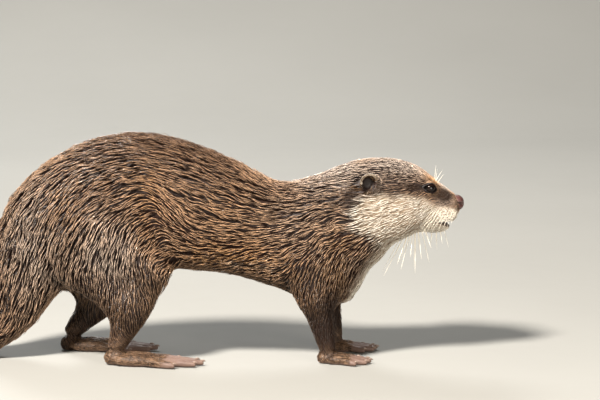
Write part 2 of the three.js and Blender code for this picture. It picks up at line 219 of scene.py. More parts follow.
def mirrored(q):
    """Places with the right half laid over the left, since both halves are alike."""
    return q * (1, 0, 1) + np.abs(q) * (0, 1, 0)


def side_of(q):
    """-1 for a place on the right half and 1 for one on the left."""
    return np.where(q[:, 1] < 0, -1.0, 1.0)


def flips(q):
    """What takes a way drawn for the left half to the half that each place is on."""
    ones = np.ones(len(q))
    return np.stack([ones, side_of(q), ones], 1)


def around(q, centre, radii):
    """1 at centre, fading smoothly over radii."""
    away = (q - np.asarray(centre, float)) / np.asarray(radii, float)
    return np.exp(-(away ** 2).sum(-1))


def unit(v):
    return v / np.maximum(np.linalg.norm(v, axis=-1, keepdims=True), 1e-9)


# %% A ripple that breaks up edges
WAVES = 9
RIPPLE_GAIN = 2.2
wave_rng = np.random.default_rng(11)
WAVE_WAYS = unit(wave_rng.normal(size=(WAVES, 3))) * wave_rng.uniform(0.6, 1.6, (WAVES, 1))
WAVE_STARTS = wave_rng.uniform(0, 2 * math.pi, WAVES)


def ripple(q, size, turn=0):
    """A gentle unevenness, mostly from -1 to 1, that changes over about size, in mm."""
    phase = (q @ WAVE_WAYS.T) * (math.pi / size) + WAVE_STARTS * (turn + 1)
    return np.sin(phase).mean(-1) * RIPPLE_GAIN


print("waves in the ripple:", WAVES)

# %% [markdown]
# ## The lie of the coat
# Hair on a real otter changes its length, depth and direction from place to place: it is
# shortest on the muzzle and feet, fans back over the cheek, lies level on the neck, falls
# over the rump and turns round the thigh. A painted map could hold that. A short table of
# places is easier to read and to change, and every point takes a mix of its nearest rows.

# %% Zones of the coat
# Each row: x, y, z of the place, reach, way of the hair (x, y, z), coat depth, lock
# length, distance between locks and a hair strand's width. All are in mm.
ZONES = np.array([
    (204, 4, 151, 7, -1, 0, .3, .6, 2.6, 1.0, .26),
    (195, 14, 148, 7, -1, .2, .1, .7, 3.4, 1.1, .28),
    (199, 12, 136, 8, -1, .3, -.5, .7, 3.0, 1.1, .28),
    (188, 6, 121, 8, -1, 0, -.2, 1.1, 4.8, 1.3, .34),
    (180, 12, 171, 8, -1, .1, .3, 1.0, 5.0, 1.3, .34),
    (184, 19, 160, 5, -1, .1, -.1, .4, 1.5, 1.2, .26),
    (178, 22, 144, 8, -1, .4, -.5, 1.1, 5.4, 1.4, .36),
    (166, 18, 123, 11, -1, .1, -.75, 1.5, 6.5, 1.8, .42),
    (152, 30, 140, 12, -1, .1, -.35, 1.9, 8.0, 1.9, .46),
    (155, 10, 182, 13, -1, 0, 0, 1.4, 6.5, 1.7, .42),
    (152, 27, 164, 10, -1, .1, -.05, 1.4, 6.5, 1.7, .42),
    (129, 39, 168, 7, -.3, .3, .9, .25, 1.8, 1.0, .24),
    (116, 32, 158, 11, -1, 0, -.1, 2.3, 10, 2.1, .5),
    (118, 6, 190, 16, -1, 0, -.1, 2.3, 10, 2.2, .5),
    (140, 10, 104, 17, -.9, 0, -.6, 2.3, 10, 2.2, .5),
    (98, 38, 140, 20, -1, 0, -.12, 3.0, 13, 2.6, .55),
    (88, 6, 178, 20, -1, 0, 0, 3.0, 13.5, 2.8, .56),
    (118, 8, 78, 18, -.4, .1, -1, 2.8, 12, 2.5, .54),
    (90, 8, 50, 14, -.6, .1, -.7, 2.4, 9.5, 2.5, .54),
    (64, 40, 122, 20, -.75, 0, -.6, 3.4, 14, 2.8, .6),
    (80, 42, 84, 14, -.3, 0, -1, 2.4, 11, 2.5, .55),
    (86, 34, 50, 13, .05, 0, -1, 1.5, 7.0, 2.1, .46),
    (93, 31, 22, 9, .25, 0, -1, .8, 5.0, 1.7, .38),
    (110, 32, 8, 12, 1, 0, -.15, .35, 3.2, 1.5, .3),
    (30, 44, 132, 22, -1, 0, .22, 3.6, 15, 3.0, .62),
    (16, 6, 172, 24, -1, 0, .3, 3.6, 15, 3.1, .62),
    (24, 10, 72, 18, -1, 0, -.1, 3.0, 12, 3.1, .6),
    (14, 46, 98, 14, -.92, 0, -.38, 3.6, 14, 3.0, .6),
    (-14, 48, 140, 18, -.93, 0, .36, 3.9, 15.5, 3.0, .64),
    (-22, 30, 178, 18, -.93, 0, .34, 3.9, 15.5, 3.1, .64),
    (-50, 6, 204, 24, -1, 0, .12, 4.0, 16, 3.1, .64),
    (-25, 8, 82, 20, -1, 0, -.05, 3.2, 12.5, 3.2, .62),
    (-40, 52, 112, 9, -.8, 0, .5, 3.6, 13, 2.9, .6),
    (-48, 54, 138, 9, -.5, 0, .85, 3.8, 14, 2.9, .62),
    (-57, 48, 100, 7, -.88, .1, -.35, 2.9, 12.8, 2.4, .56),
    (-62, 54, 162, 9, -.75, 0, .6, 4.0, 15, 3.0, .64),
    (-84, 52, 180, 12, -.98, 0, .05, 4.2, 16, 3.1, .66),
    (-86, 56, 142, 11, -.85, 0, -.5, 4.0, 14.5, 3.0, .64),
    (-72, 54, 118, 8, -.75, 0, -.62, 3.8, 13, 2.9, .62),
    (-112, 50, 168, 15, -.85, 0, -.5, 4.2, 16, 3.1, .66),
    (-104, 6, 206, 24, -1, 0, -.15, 4.2, 16, 3.2, .66),
    (-150, 40, 150, 18, -.62, 0, -.78, 4.2, 16, 3.1, .66),
    (-160, 40, 112, 18, -.34, 0, -.94, 4.0, 15.5, 3.0, .66),
    (-196, 8, 112, 18, -.35, 0, -.93, 3.8, 15, 3.0, .64),
    (-206, 14, 70, 13, -.25, 0, -.97, 3.2, 13.5, 2.8, .6),
    (-104, 54, 112, 13, -.25, 0, -.97, 3.5, 14, 2.9, .62),
    (-84, 48, 82, 11, .25, 0, -.97, 2.9, 12, 2.7, .58),
    (-120, 44, 70, 14, -.05, 0, -1, 2.7, 11, 2.6, .56),
    (-94, 40, 45, 11, -.05, 0, -1, 1.7, 7.5, 2.2, .48),
    (-130, 38, 42, 12, -.15, 0, -1, 1.7, 7.5, 2.2, .48),
    (-103, 38, 19, 8, .25, 0, -1, .8, 5.0, 1.8, .38),
    (-148, 36, 20, 8, .25, 0, -1, .8, 5.0, 1.8, .38),
    (-66, 38, 8, 16, 1, 0, -.1, .35, 3.6, 1.6, .32),
    (-110, 36, 8, 14, 1, 0, -.1, .35, 3.6, 1.6, .32),
    (-218, 2, 38, 12, -.6, 0, -.8, 3.0, 13, 2.7, .58),
    (-244, 4, 20, 14, -1, .05, -.15, 2.7, 12.5, 2.8, .6),
    (-292, 8, 15, 26, -1, .1, -.05, 2.3, 12, 2.8, .58),
    (-342, 16, 11, 26, -1, .1, -.04, 1.9, 10.5, 2.6, .54),
    (-392, 21, 8, 24, -1, 0, -.03, 1.4, 9.0, 2.1, .44),
    (-434, 18, 5, 16, -1, -.05, 0, .9, 7.0, 1.8, .38),
])
REACH, WAY = 3, slice(4, 7)
WAY_SIDEWAYS, DEPTH, LENGTH, SPACING, STRAND = 5, 7, 8, 9, 10
CLOSER = 0.9
FAR_PULL = 1e-5
ZONES[:, SPACING] *= CLOSER


def zone_mix(q):
    """The mixed row of the table at each place: way of the hair, depth, length and so on."""
    here = mirrored(q)
    away = ((here[:, None, :] - ZONES[None, :, :3]) ** 2).sum(-1)
    share = np.exp(-away / (2 * ZONES[:, REACH] ** 2)) + FAR_PULL / (1 + away)
    share = share / share.sum(1, keepdims=True)
    mix = share @ ZONES
    mix[:, WAY_SIDEWAYS] *= side_of(q)
    return mix


print("zones of the coat:", len(ZONES))

# %% The way of the hair
# On an ear the hair fans out from the ear's middle, and leans back and a little up.
EAR = np.array((128.2, 37.8, 167.6))
EAR_WAY = unit(np.array((0.55, 1.0, 0.0)))
EAR_AHEAD = np.cross(EAR_WAY, (0, 0, 1.0))
EAR_RADIUS, EAR_DEEP = 10.4, 6.0
EAR_LEAN = (-3, 0, 1)
EAR_COAT_EDGE, EAR_COAT_FOOT = (13.0, 10.5), (-7, -4)


def way_of_hair(q, normal):
    """The unit way in which the coat lies, along the surface."""
    way = zone_mix(q)[:, WAY]
    off = mirrored(q) - EAR
    along = off @ EAR_WAY
    flat_off = (off - along[:, None] * EAR_WAY) * flips(q)
    on_ear = ramp(*EAR_COAT_EDGE, np.linalg.norm(off, axis=1)) * ramp(*EAR_COAT_FOOT, along)
    way = way * (1 - on_ear[:, None]) + unit(flat_off + EAR_LEAN) * on_ear[:, None]
    return unit(way - normal * (way * normal).sum(1, keepdims=True))


print("an ear's radius, mm:", EAR_RADIUS)

# %% [markdown]
# ## One skin from many solids
# The CAD parts the animal at its joints, but a skin has no seams. Joining the solids with
# booleans would keep their flat facets. Growing each by a third of a millimetre, wrapping
# them all in one voxel mesh and relaxing it gives one smooth closed hide. The face, the
# ears and the eyes, where a fold is finer than a voxel, are divided again before they are
# sculpted.

# %% Wrap the solids
GROW = 0.35
VOXEL = 1.45
FLESH = sorted(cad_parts)

gathered = bmesh.new()
for node in FLESH:
    if not node.startswith("ear"):
        gathered.from_mesh(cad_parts[node].data)
bmesh.ops.remove_doubles(gathered, verts=gathered.verts, dist=1e-6)
gathered.normal_update()
for vertex in gathered.verts:
    vertex.co += vertex.normal * GROW * MM
print("solids gathered:", sum(not node.startswith("ear") for node in FLESH))

# %% Set the ears on
# The ear is a round leaf that stands off the head. It goes on as a solid button, which a
# voxel wrap can follow, and its hollow is pressed in once the faces there are fine.
EAR_ROUND = 26
EAR_TALL = 0.86
EAR_ROOT, EAR_ROOT_RINGS = EAR_DEEP * 1.5, 9
EAR_DOME, EAR_DOME_RINGS = 0.9, 6
QUARTER = math.pi / 2


def ear_button(bm, sign):
    """A closed round button that faces along EAR_WAY."""
    rise = np.array((0.0, 0.0, 1.0))
    profile = []
    for t in np.linspace(0, QUARTER, EAR_ROOT_RINGS):
        profile.append((EAR_RADIUS * math.sin(t), -EAR_ROOT * math.cos(t)))
    for t in np.linspace(QUARTER, 0, EAR_DOME_RINGS)[1:]:
        profile.append((EAR_RADIUS * math.sin(t), EAR_DOME * math.cos(t)))
    rings = []
    for radius, along in profile:
        ring = []
        for k in range(EAR_ROUND):
            turn = 2 * math.pi * k / EAR_ROUND
            flat = rise * math.sin(turn) * EAR_TALL - EAR_AHEAD * math.cos(turn)
            place = (EAR + flat * radius + EAR_WAY * along) * (1, sign, 1)
            ring.append(bm.verts.new(placed(place)))
        rings.append(ring)
    made = []
    for low, high in zip(rings, rings[1:]):
        for k in range(EAR_ROUND):
            n = (k + 1) % EAR_ROUND
            made.append(bm.faces.new((low[k], low[n], high[n], high[k])))
    bmesh.ops.remove_doubles(bm, verts=[v for r in rings for v in r], dist=1e-6)
    bmesh.ops.recalc_face_normals(bm, faces=[f for f in made if f.is_valid])


for sign in SIDES.values():
    ear_button(gathered, sign)
print("corners with the ears:", len(gathered.verts))

# %% Wrap them in one sheet
rough = bpy.data.meshes.new("rough_hide")
gathered.to_mesh(rough)
gathered.free()
wrapped = bpy.data.objects.new("rough_hide", rough)
bpy.context.scene.collection.objects.link(wrapped)
wrap = wrapped.modifiers.new("wrap", "REMESH")
wrap.mode = "VOXEL"
wrap.voxel_size = VOXEL * MM
wrap.adaptivity = 0
hide = bmesh.new()
depsgraph = bpy.context.evaluated_depsgraph_get()
hide.from_mesh(wrapped.evaluated_get(depsgraph).to_mesh())
bpy.data.objects.remove(wrapped)
print("corners of the wrap:", len(hide.verts))


# %% Keep only the outermost sheet
def islands(bm):
    """The sheets of a mesh that hang together, each as a list of its corners."""
    left = set(bm.verts)
    while left:
        seed = left.pop()
        island = [seed]
        for vertex in island:
            for edge in vertex.link_edges:
                other = edge.other_vert(vertex)
                if other in left:
                    left.discard(other)
                    island.append(other)
        yield island


sheets = sorted(islands(hide), key=len)
for sheet in sheets[:-1]:
    bmesh.ops.delete(hide, geom=sheet, context="VERTS")
print("sheets found:", len(sheets), "vertices kept:", len(hide.verts))

# %% Relax away the facets
TOWARDS, BACK = 0.5, 0.52
FIRST_ROUNDS, LAST_ROUNDS = 14, 4


def relaxed(points, edges, rounds, share):
    """Points moved towards their neighbours and a little more back, which rounds off
    facets without thinning the limbs."""
    a = np.concatenate((edges[:, 0], edges[:, 1]))
    b = np.concatenate((edges[:, 1], edges[:, 0]))
    many = np.bincount(a, minlength=len(points))[:, None]
    for _ in range(rounds):
        for step in (TOWARDS, -BACK):
            total = np.stack([np.bincount(a, points[b, k], len(points)) for k in range(3)], 1)
            points = points + (total / many - points) * step * share
    return points


def edges_of(bm):
    return np.array([(e.verts[0].index, e.verts[1].index) for e in bm.edges])


def relax_mesh(bm, rounds, share_of):
    """Relaxes a mesh, at each place by the share that share_of gives for it."""
    bm.verts.index_update()
    points = np.array([v.co for v in bm.verts])
    share = share_of(drawn(points))
    moved = relaxed(points, edges_of(bm), rounds, share[:, None])
    for vertex, place in zip(bm.verts, moved):
        vertex.co = place
    bm.normal_update()


def broad(q):
    """Where a broad relaxing does no harm: less at the ears, paws and nose."""
    m = mirrored(q)
    ear = around(m, EAR, (14, 10, 14)) * 0.8
    paw = ramp(14, 8, q[:, 2]) * ramp(-200, -180, q[:, 0])
    nose = around(m, (207, 0, 144), (10, 12, 10)) * 0.7
    return np.clip(1 - (ear + paw + nose) * 1.2, 0.12, 1)


relax_mesh(hide, FIRST_ROUNDS, broad)
print("rounds of relaxing:", FIRST_ROUNDS)


# %% Finer faces on the face, ears and eyes
def divide(bm, chosen):
    """Divides the faces whose middle, in the drawing's mm, is chosen."""
    bm.faces.ensure_lookup_table()
    middles = drawn(np.array([f.calc_center_median() for f in bm.faces]))
    pick = chosen(mirrored(middles))
    edges = dict.fromkeys(e for face, yes in zip(bm.faces, pick) if yes for e in face.edges)
    bmesh.ops.subdivide_edges(bm, edges=list(edges), cuts=1, use_grid_fill=True)


FACE_FROM, JAW_FROM = 160, 108
EAR_FINE = 14
EYE_FINE = (12.5, 14, 9)
HEAD_FROM, HEAD_SHARE, BODY_SHARE = 105, 0.8, 0.5

divide(hide, lambda m: (m[:, 0] > FACE_FROM) & (m[:, 2] > JAW_FROM))
divide(hide, lambda m: np.linalg.norm(m - EAR, axis=1) < EAR_FINE)
divide(hide, lambda m: (((m - EYE) / EYE_FINE) ** 2).sum(1) < 1)
relax_mesh(hide, LAST_ROUNDS, lambda q: np.where(q[:, 0] > HEAD_FROM, HEAD_SHARE, BODY_SHARE))
print("faces of the hide:", len(hide.faces))

# %% [markdown]
# ## From the tips of the coat down to the skin
# The CAD gives the outline out to the hair tips, so the skin lies inside it by the depth
# of the coat. Shrinking the whole by one amount would starve the paws and muzzle, so each
# point goes in by the depth in the table, and not at all at the soles.

# %% Let the skin in
skin_mesh = bpy.data.meshes.new("otter_skin")
hide.to_mesh(skin_mesh)
hide.free()
outer = drawn(places(skin_mesh))
outward = normals(skin_mesh)
SOLE_FADE = (0.4, 6)
let_in = zone_mix(outer)[:, DEPTH] * ramp(*SOLE_FADE, outer[:, 2])
inner = outer - outward * let_in[:, None]
print("skin lies in by, mm:", let_in.min().round(2), "to", let_in.max().round(2))

# %% [markdown]
# ## The face
# Lids, lips and the bed of the nose are what makes a face alive. They could be separate
# rings and lips stitched on, but real ones are folds of the same skin. So they are pressed
# into the skin's own points with soft falloffs, first the large forms and then the rims.

# %% The large forms of the face
# Each row: x, y, z of the middle, the three radii, and how far the skin is pushed out.
FACE_FORMS = {
    "whisker pad": (198, 11, 135.5, 9, 7, 6, 1.0),
    "back of the pad": (188, 15, 137, 9, 7, 7, 0.7),
    "brow": (178, 15, 168.5, 9, 6, 4, 0.9),
    "under the eye": (180, 20, 151, 11, 6, 4, -0.6),
    "side of the bridge": (195, 10, 149, 8, 4, 5, -0.8),
    "cheek": (163, 27, 139, 13, 9, 12, 0.9),
}


def ellipsoids(rows, q):
    """The sum of soft ellipsoids at each place, each as strong as its row says."""
    here = mirrored(q)
    return sum(row[6] * around(here, row[:3], row[3:6]) for row in rows)


def push(points, ways, amount):
    return points + ways * amount[:, None]


inner = push(inner, outward, ellipsoids(FACE_FORMS.values(), inner))
print("forms of the face:", ", ".join(FACE_FORMS))

# %% The mouth
# The lips meet in a bowed line that drops a little to the front, where they stand open.
MOUTH_BACK = (176.0, 128.8)
MOUTH_FRONT = (206.0, 125.6)
MOUTH_BOW = 1.3
HALF_GAP, HALF_GAP_WIDENS = 0.6, 1.9
LIP_DEEP, LIP_DEEPENS = 0.9, 4.2
UPPER_SWELL, LOWER_SWELL = 0.7, 0.4
SWELL_AT, SWELL_WIDE = 1.9, 1.2
SNOUT_CORNER, SNOUT_CORNER_RADII = (210.5, 0, 128), (6.5, 9, 6.5)
SNOUT_CORNER_MOVE = (-4.2, 0, 2.2)


def mouth(q):
    """How far each place is along the lips, from 0 to 1, and how many half gaps above
    the line between them."""
    ahead = (q[:, 0] - MOUTH_BACK[0]) / (MOUTH_FRONT[0] - MOUTH_BACK[0])
    line = MOUTH_BACK[1] + (MOUTH_FRONT[1] - MOUTH_BACK[1]) * np.clip(ahead, -0.2, 1.2)
    line = line + MOUTH_BOW * np.sin(np.clip(ahead, 0, 1) * math.pi)
    half_gap = HALF_GAP + HALF_GAP_WIDENS * ramp(0.45, 0.9, ahead)
    return ahead, (q[:, 2] - line) / half_gap


def lip(from_line, middle):
    return np.exp(-((from_line - middle) / SWELL_WIDE) ** 2)


under_snout = around(inner * (1, 0.6, 1), SNOUT_CORNER, SNOUT_CORNER_RADII)
inner = inner + under_snout[:, None] * SNOUT_CORNER_MOVE
ahead, from_line = mouth(inner)
along_lips = ramp(-0.12, 0.08, ahead)
deepening = LIP_DEEP + LIP_DEEPENS * ramp(0.4, 0.9, ahead)
mouth_deep = deepening * along_lips * np.exp(-from_line ** 4)
lip_swell = UPPER_SWELL * along_lips * lip(from_line, SWELL_AT)
lip_swell += LOWER_SWELL * along_lips * lip(from_line, -SWELL_AT)
inner = push(inner, outward, lip_swell - mouth_deep)
below = np.where(from_line < 0, 0.55, 1.0)
# The gap between the lips is painted dark: the dark lip edges, and painted shade inside the open
# mouth.
in_mouth = along_lips * np.exp(-(from_line * below) ** 4 * 0.8) * (inner[:, 0] > 168)
print("corners in the mouth:", int((in_mouth > 0.5).sum()))

# %% The eyes and their lids
# Each eyeball is a little ahead of its socket. Inside the opening the skin drops behind
# the ball. At the rim it folds over it, and a shallow crease runs round outside the rim.
# An opening of 1 is the edge of the lids, and more than 1 lies outside them.
BALL = 5.6
OPEN_LONG, OPEN_UP, OPEN_DOWN = 6.9, 3.5, 3.7
LID = 0.75
BALL_SHOWS = 0.5
SOCKET_FADE, SOCKET_REACH = 10, 16
BEHIND_BALL, BEHIND_LID = 1.2, 2.0
RIM_AT, RIM_WIDE, RIM_HIGH = 1.15, 0.13, 0.35
CREASE_AT, CREASE_WIDE, CREASE_DEEP = 1.62, 0.2, 0.55
CORNER_BACK, CORNER_UP = (10, 4.5), (0.8, 1.7)
GAZE = unit(np.array((0.42, 1.0, 0.16)))
REAR = unit(np.cross((0.18, 0.0, 1.0), GAZE))
REAR = REAR if REAR[0] < 0 else -REAR
LIFT = unit(np.cross(REAR, GAZE))
LIFT = LIFT if LIFT[2] > 0 else -LIFT


def eye_frame(points):
    """Places as rearward, upward and outward from the nearer eye's middle, in mm."""
    off = mirrored(points) - EYE
    return off @ REAR, off @ LIFT, off @ GAZE


rearward, upward, outward_by = eye_frame(inner)
across = np.hypot(rearward, upward)
facing_out = outward_by > 0
straight = np.argmin(across + 99 * ~facing_out)
sunk = outward_by[straight] - (BALL - BALL_SHOWS)
print("skin over the eye's middle, mm:", outward_by[straight].round(2))
outward_by = outward_by - sunk * np.exp(-(across / SOCKET_FADE) ** 2) * facing_out
half_high = np.where(upward > 0, OPEN_UP, OPEN_DOWN)
opening = np.sqrt((upward / half_high) ** 2 + 0.02) + (rearward / OPEN_LONG) ** 2 - 0.06
fold = np.sqrt(np.clip((BALL + LID) ** 2 - across ** 2, 0, None))
hidden = np.sqrt(np.clip((BALL - BEHIND_BALL) ** 2 - across ** 2, 0, None)) - 0.3
lidded = np.maximum(outward_by, fold)
hidden = np.maximum(hidden, lidded - BEHIND_LID)
lidded = outward_by + (lidded - outward_by) * ramp(2.1, RIM_AT, opening)
lidded = lidded + RIM_HIGH * np.exp(-((opening - RIM_AT) / RIM_WIDE) ** 2)
lidded = lidded - CREASE_DEEP * np.exp(-((opening - CREASE_AT) / CREASE_WIDE) ** 2)
target = hidden + (lidded - hidden) * ramp(0.93, 1.06, opening)
by_eye = facing_out & (across < SOCKET_REACH)
target = np.where(by_eye, target, outward_by)
new_off = rearward[:, None] * REAR + upward[:, None] * LIFT + target[:, None] * GAZE
eyed = (EYE + new_off) * flips(inner)
inner = np.where(by_eye[:, None], eyed, inner)
back_off = (rearward - CORNER_BACK[0]) / CORNER_BACK[1]
up_off = (upward - CORNER_UP[0]) / CORNER_UP[1]
rear_corner = np.exp(-back_off ** 2 - up_off ** 2)
lid_dark = np.where(by_eye, np.clip(ramp(1.75, 1.25, opening) + 1.2 * rear_corner, 0, 1), 0)

# %% The hollows of the ears
# The hollow lies a little behind and below the ear's own middle, with a steep wall.
HOLLOW_RADIUS, HOLLOW_DEEP = 7.6, 5.6
HOLLOW_BACK, HOLLOW_DOWN = 0.6, 0.9
HOLLOW_STEEP = 3.5
LEAF_THICK = 4


def ear_frame(points):
    """Each place by the nearer ear: how far out along its way, how far off its axis, how
    far off the axis of its hollow, and where it lies from the ear's middle."""
    off = mirrored(points) - EAR
    along = off @ EAR_WAY
    flat = off - along[:, None] * EAR_WAY
    from_hollow = flat + EAR_AHEAD * HOLLOW_BACK + (0, 0, HOLLOW_DOWN)
    radius = np.linalg.norm(flat / (1, 1, EAR_TALL), axis=1)
    return along, radius, np.linalg.norm(from_hollow, axis=1), off


along, _, in_hollow, _ = ear_frame(inner)
open_side = (outward * flips(inner)) @ EAR_WAY
pressed = (1 - np.clip(in_hollow / HOLLOW_RADIUS, 0, 1) ** HOLLOW_STEEP) * HOLLOW_DEEP
pressed = pressed * ramp(0.1, 0.5, open_side) * ramp(-4.5, -2.5, along) * (along < LEAF_THICK)
inner = inner - pressed[:, None] * EAR_WAY * flips(inner)
print("hollow of an ear, deepest, mm:", pressed.max().round(2))

# %% The bed of the nose pad
NOSE_PAD = np.array((207.5, 0, 144.5))
NOSE_HALF = np.array((7.6, 9.2, 7.2))
BED_MIDDLE = NOSE_PAD + (-4, 0, 0)
BED_SHARE, BED_EDGE = 0.55, (1.02, 0.85)
in_pad = np.sqrt((((inner - NOSE_PAD) / NOSE_HALF) ** 2).sum(1))
inner = inner + (BED_MIDDLE - inner) * (BED_SHARE * ramp(*BED_EDGE, in_pad))[:, None]
set_places(skin_mesh, placed(inner))
outward = normals(skin_mesh)
print("skin vertices:", len(inner))

# %% [markdown]
# ## The markings
# The animal is brown above and cream below, with an ochre cast on the flank, near black
# between the eye and nose, and bare grey-pink paws. Each marking is a number at every
# point, mixed from soft ellipsoids, so skin and coat can read the same values. The dark
# marking also holds painted shade on the forelegs, behind the ears and in their hollows,
# and the ash marking a painted grey sheen of wet fur. Each marking's edge is broken by a
# ripple, as no coat changes colour along a ruled line.

# %% Soft ellipsoids for each marking
# Each row: x, y, z of the middle, the three radii, and how strong.
PALE = (
    (201, 12, 134, 11, 11, 8, 1.2), (186, 15, 133, 13, 12, 10, 1.2),
    (170, 24, 137, 16, 16, 14, 1.2), (152, 30, 138, 20, 17, 17, 1.2),
    (132, 33, 138, 17, 16, 16, 1.1), (190, 0, 121, 16, 15, 8, 1.3),
    (165, 0, 116, 22, 24, 16, 1.2), (147, 6, 110, 18, 21, 17, 1.0),
    (124, 4, 92, 18, 20, 24, 0.65), (114, 4, 68, 16, 18, 26, 0.5),
    (40, 0, 70, 60, 24, 14, 0.3), (161, 24, 124, 7, 9, 4.5, -0.8),
    (16, 44, 92, 46, 22, 13, 0.42),
)
WARM = (
    (188, 12, 166, 7, 7, 6, 1.0), (22, 48, 100, 30, 22, 14, 1.0),
    (-14, 46, 100, 26, 22, 12, 0.8), (-66, 56, 140, 14, 20, 30, 0.6),
    (-64, 50, 176, 13, 22, 18, 0.4), (116, 34, 116, 20, 20, 16, 0.5),
    (140, 24, 96, 16, 18, 12, 0.4), (98, 24, 90, 22, 24, 28, 0.7),
    (-150, 46, 150, 16, 16, 22, 0.3), (30, 44, 140, 50, 20, 22, 0.4),
    (176, 24, 150, 10, 10, 5, 0.5),
)
# The coat's own dark places, as the back, the side of the muzzle and the eye's rear corner, and
# painted shade on the forelegs and behind and below the ears.
DARK_AND_SHADE = (
    (196, 12, 151.6, 8.0, 8, 5.2, 2.2), (152, 32, 160, 20, 12, 6, 0.35),
    (116, 36, 150, 8, 14, 9, 0.9), (86, 34, 52, 18, 18, 28, 1.4),
    (92, 31, 24, 14, 14, 16, 0.8), (-95, 40, 40, 22, 18, 22, 0.5),
    (-135, 36, 40, 18, 18, 20, 0.5), (10, 0, 200, 60, 66, 34, 0.75),
    (-80, 0, 222, 70, 72, 40, 0.85), (171.5, 21.5, 161.8, 6, 8, 2.4, 3.0),
    (-52, 52, 106, 16, 18, 16, 0.3), (-330, 12, 12, 110, 40, 24, 0.3),
    (119, 37, 160, 6, 10, 5, 0.8), (140, 34, 158, 7, 12, 5, 0.5),
)
# Greyish locks on the back, crown, bridge of the muzzle and thigh: partly greyer hair, partly a
# painted sheen of wet fur where the light falls, lightest at the crests.
ASH_SHEEN = (
    (100, 14, 178, 40, 34, 22, 0.9), (160, 12, 178, 28, 22, 14, 0.9),
    (-180, 40, 120, 30, 30, 60, 0.7), (-108, 54, 108, 30, 16, 32, 0.7),
    (60, 46, 140, 30, 20, 20, 0.4), (197, 3, 158, 9, 7, 5, 1.0),
    (196, 14, 146, 12, 8, 5, 0.7), (112, 26, 100, 24, 20, 34, 0.6),
)
EDGE_RIPPLE = 0.25


def marking(rows, q, edge):
    """How strongly each place is marked, from 0 to 1, with a ripple of about edge mm."""
    return np.clip(ellipsoids(rows, q) * (1 + EDGE_RIPPLE * ripple(q, edge)), 0, 1)


print("ellipsoids of the markings:", sum(map(len, (PALE, WARM, DARK_AND_SHADE, ASH_SHEEN))))

# %% The edge of the cream cheek
# The line above the cream is given by its places along the head and its heights there.
PALE_LINE = (
    (120, 135, 150, 165, 176, 183, 190, 195, 204, 212),
    (157, 159, 158.5, 159, 157.6, 154.6, 150.8, 147, 142, 138),
)
NAPE, CHEEK = 108, 128


def pale_of(q):
    """Cream cheeks and throat: full below the line from the eye to the ear."""
    soft = marking(PALE, q, 9)
    line = np.interp(q[:, 0], *PALE_LINE) + 1.6 * ripple(q * (0.45, 1, 1), 3.5)
    under = ramp(line + 2.2, line - 2.6, q[:, 2])
    head = ramp(NAPE, CHEEK, q[:, 0] + 3 * ripple(q, 8, 1))
    return ramp(0.22, 0.75, soft) * (under * head + (1 - head))


# %% Bare toes, soles and ears
TOES_FROM = {"fore": (108, 112), "right": (-62, -54), "left": (-108, -100)}
PAWS_END, SOLES_END = -190, -180
TOE_TOP, SOLE_TOP = (15, 12), (2.6, 1.4)


def bare_of(q):
    """Skin without hair: the toes and the soles."""
    ahead = ramp(*TOES_FROM["fore"], q[:, 0] + 4 * ripple(q, 7)) * (q[:, 0] > 0)
    for side, sign in SIDES.items():
        hind = ramp(*TOES_FROM[side], q[:, 0] + 5 * ripple(q, 7))
        hind = hind * (q[:, 0] < 0) * (q[:, 0] > PAWS_END)
        ahead = np.maximum(ahead, hind * (q[:, 1] * sign > 0))
    low = ramp(*TOE_TOP, q[:, 2])
    sole = ramp(*SOLE_TOP, q[:, 2]) * (q[:, 0] > SOLES_END)
    return np.maximum(ahead * low, sole)


def ear_parts(q):
    """How much each place belongs to an ear's rim and to its hollow."""
    along, radius, in_hollow, off = ear_frame(q)
    standing = ramp(-5.5, -3.5, along) * ramp(14.0, 12.0, radius)
    forward = ramp(1, 8, off @ EAR_AHEAD - 0.5 * off[:, 2])
    rim = standing * ramp(6.8, 7.8, in_hollow) * (1 - 0.9 * forward)
    hollow = ramp(-12, -10.5, along) * ramp(7.9, 6.8, in_hollow) * ramp(5.0, 3.0, along)
    return rim, hollow


def markings(q):
    """Every marking at each place, by the name that the materials read."""
    rim, hollow = ear_parts(q)
    on_ear = np.maximum(rim, hollow)
    return {
        "mark_pale": np.maximum(pale_of(q) * (1 - on_ear), rim * 0.8),
        # In an ear's hollow the warm tint is its own colour, and the dark mark there is painted
        # shade.
        "mark_warm": np.maximum(marking(WARM, q, 14) * (1 - on_ear), hollow),
        "mark_dark_and_shade": np.maximum(marking(DARK_AND_SHADE, q, 12) * (1 - on_ear), hollow * 0.75),
        "mark_ash_sheen": marking(ASH_SHEEN, q, 14) * (1 - on_ear),
        "mark_bare": bare_of(q),
    }


# %% Whisker roots
# Whiskers stand in rows on the pad. Their roots also show as dark dots on the pale lip.
PAD_ROWS, PAD_PLACES = 5, 7
PAD_FRONT, PAD_TOP = 204.5, 141.2
ROOT_GAP, ROW_GAP, ROW_SHIFT, ROW_DROP = 3.4, 2.6, 1.6, 0.18
whisker_rng = np.random.default_rng(5)
whisker_roots = []
for row in range(PAD_ROWS):
    for place in range(PAD_PLACES - row % 2):
        x = PAD_FRONT - place * ROOT_GAP - (row % 2) * ROW_SHIFT + whisker_rng.normal(0, 0.25)
        z = PAD_TOP - row * ROW_GAP - place * ROW_DROP + whisker_rng.normal(0, 0.2)
        whisker_roots.append((x, z))
whisker_roots = np.array(whisker_roots)
print("whisker roots on each side:", len(whisker_roots))

# %% [markdown]
# ## Shared effects
# Skin and coat must agree in colour, so one node group turns the markings into the colour
# of the hair, and both materials hold it. A second group gives the fine pebbles that the
# nose pad and the bare paws share. Both put out only colours and numbers that change over
# the surface. The shaders stay in the materials themselves.

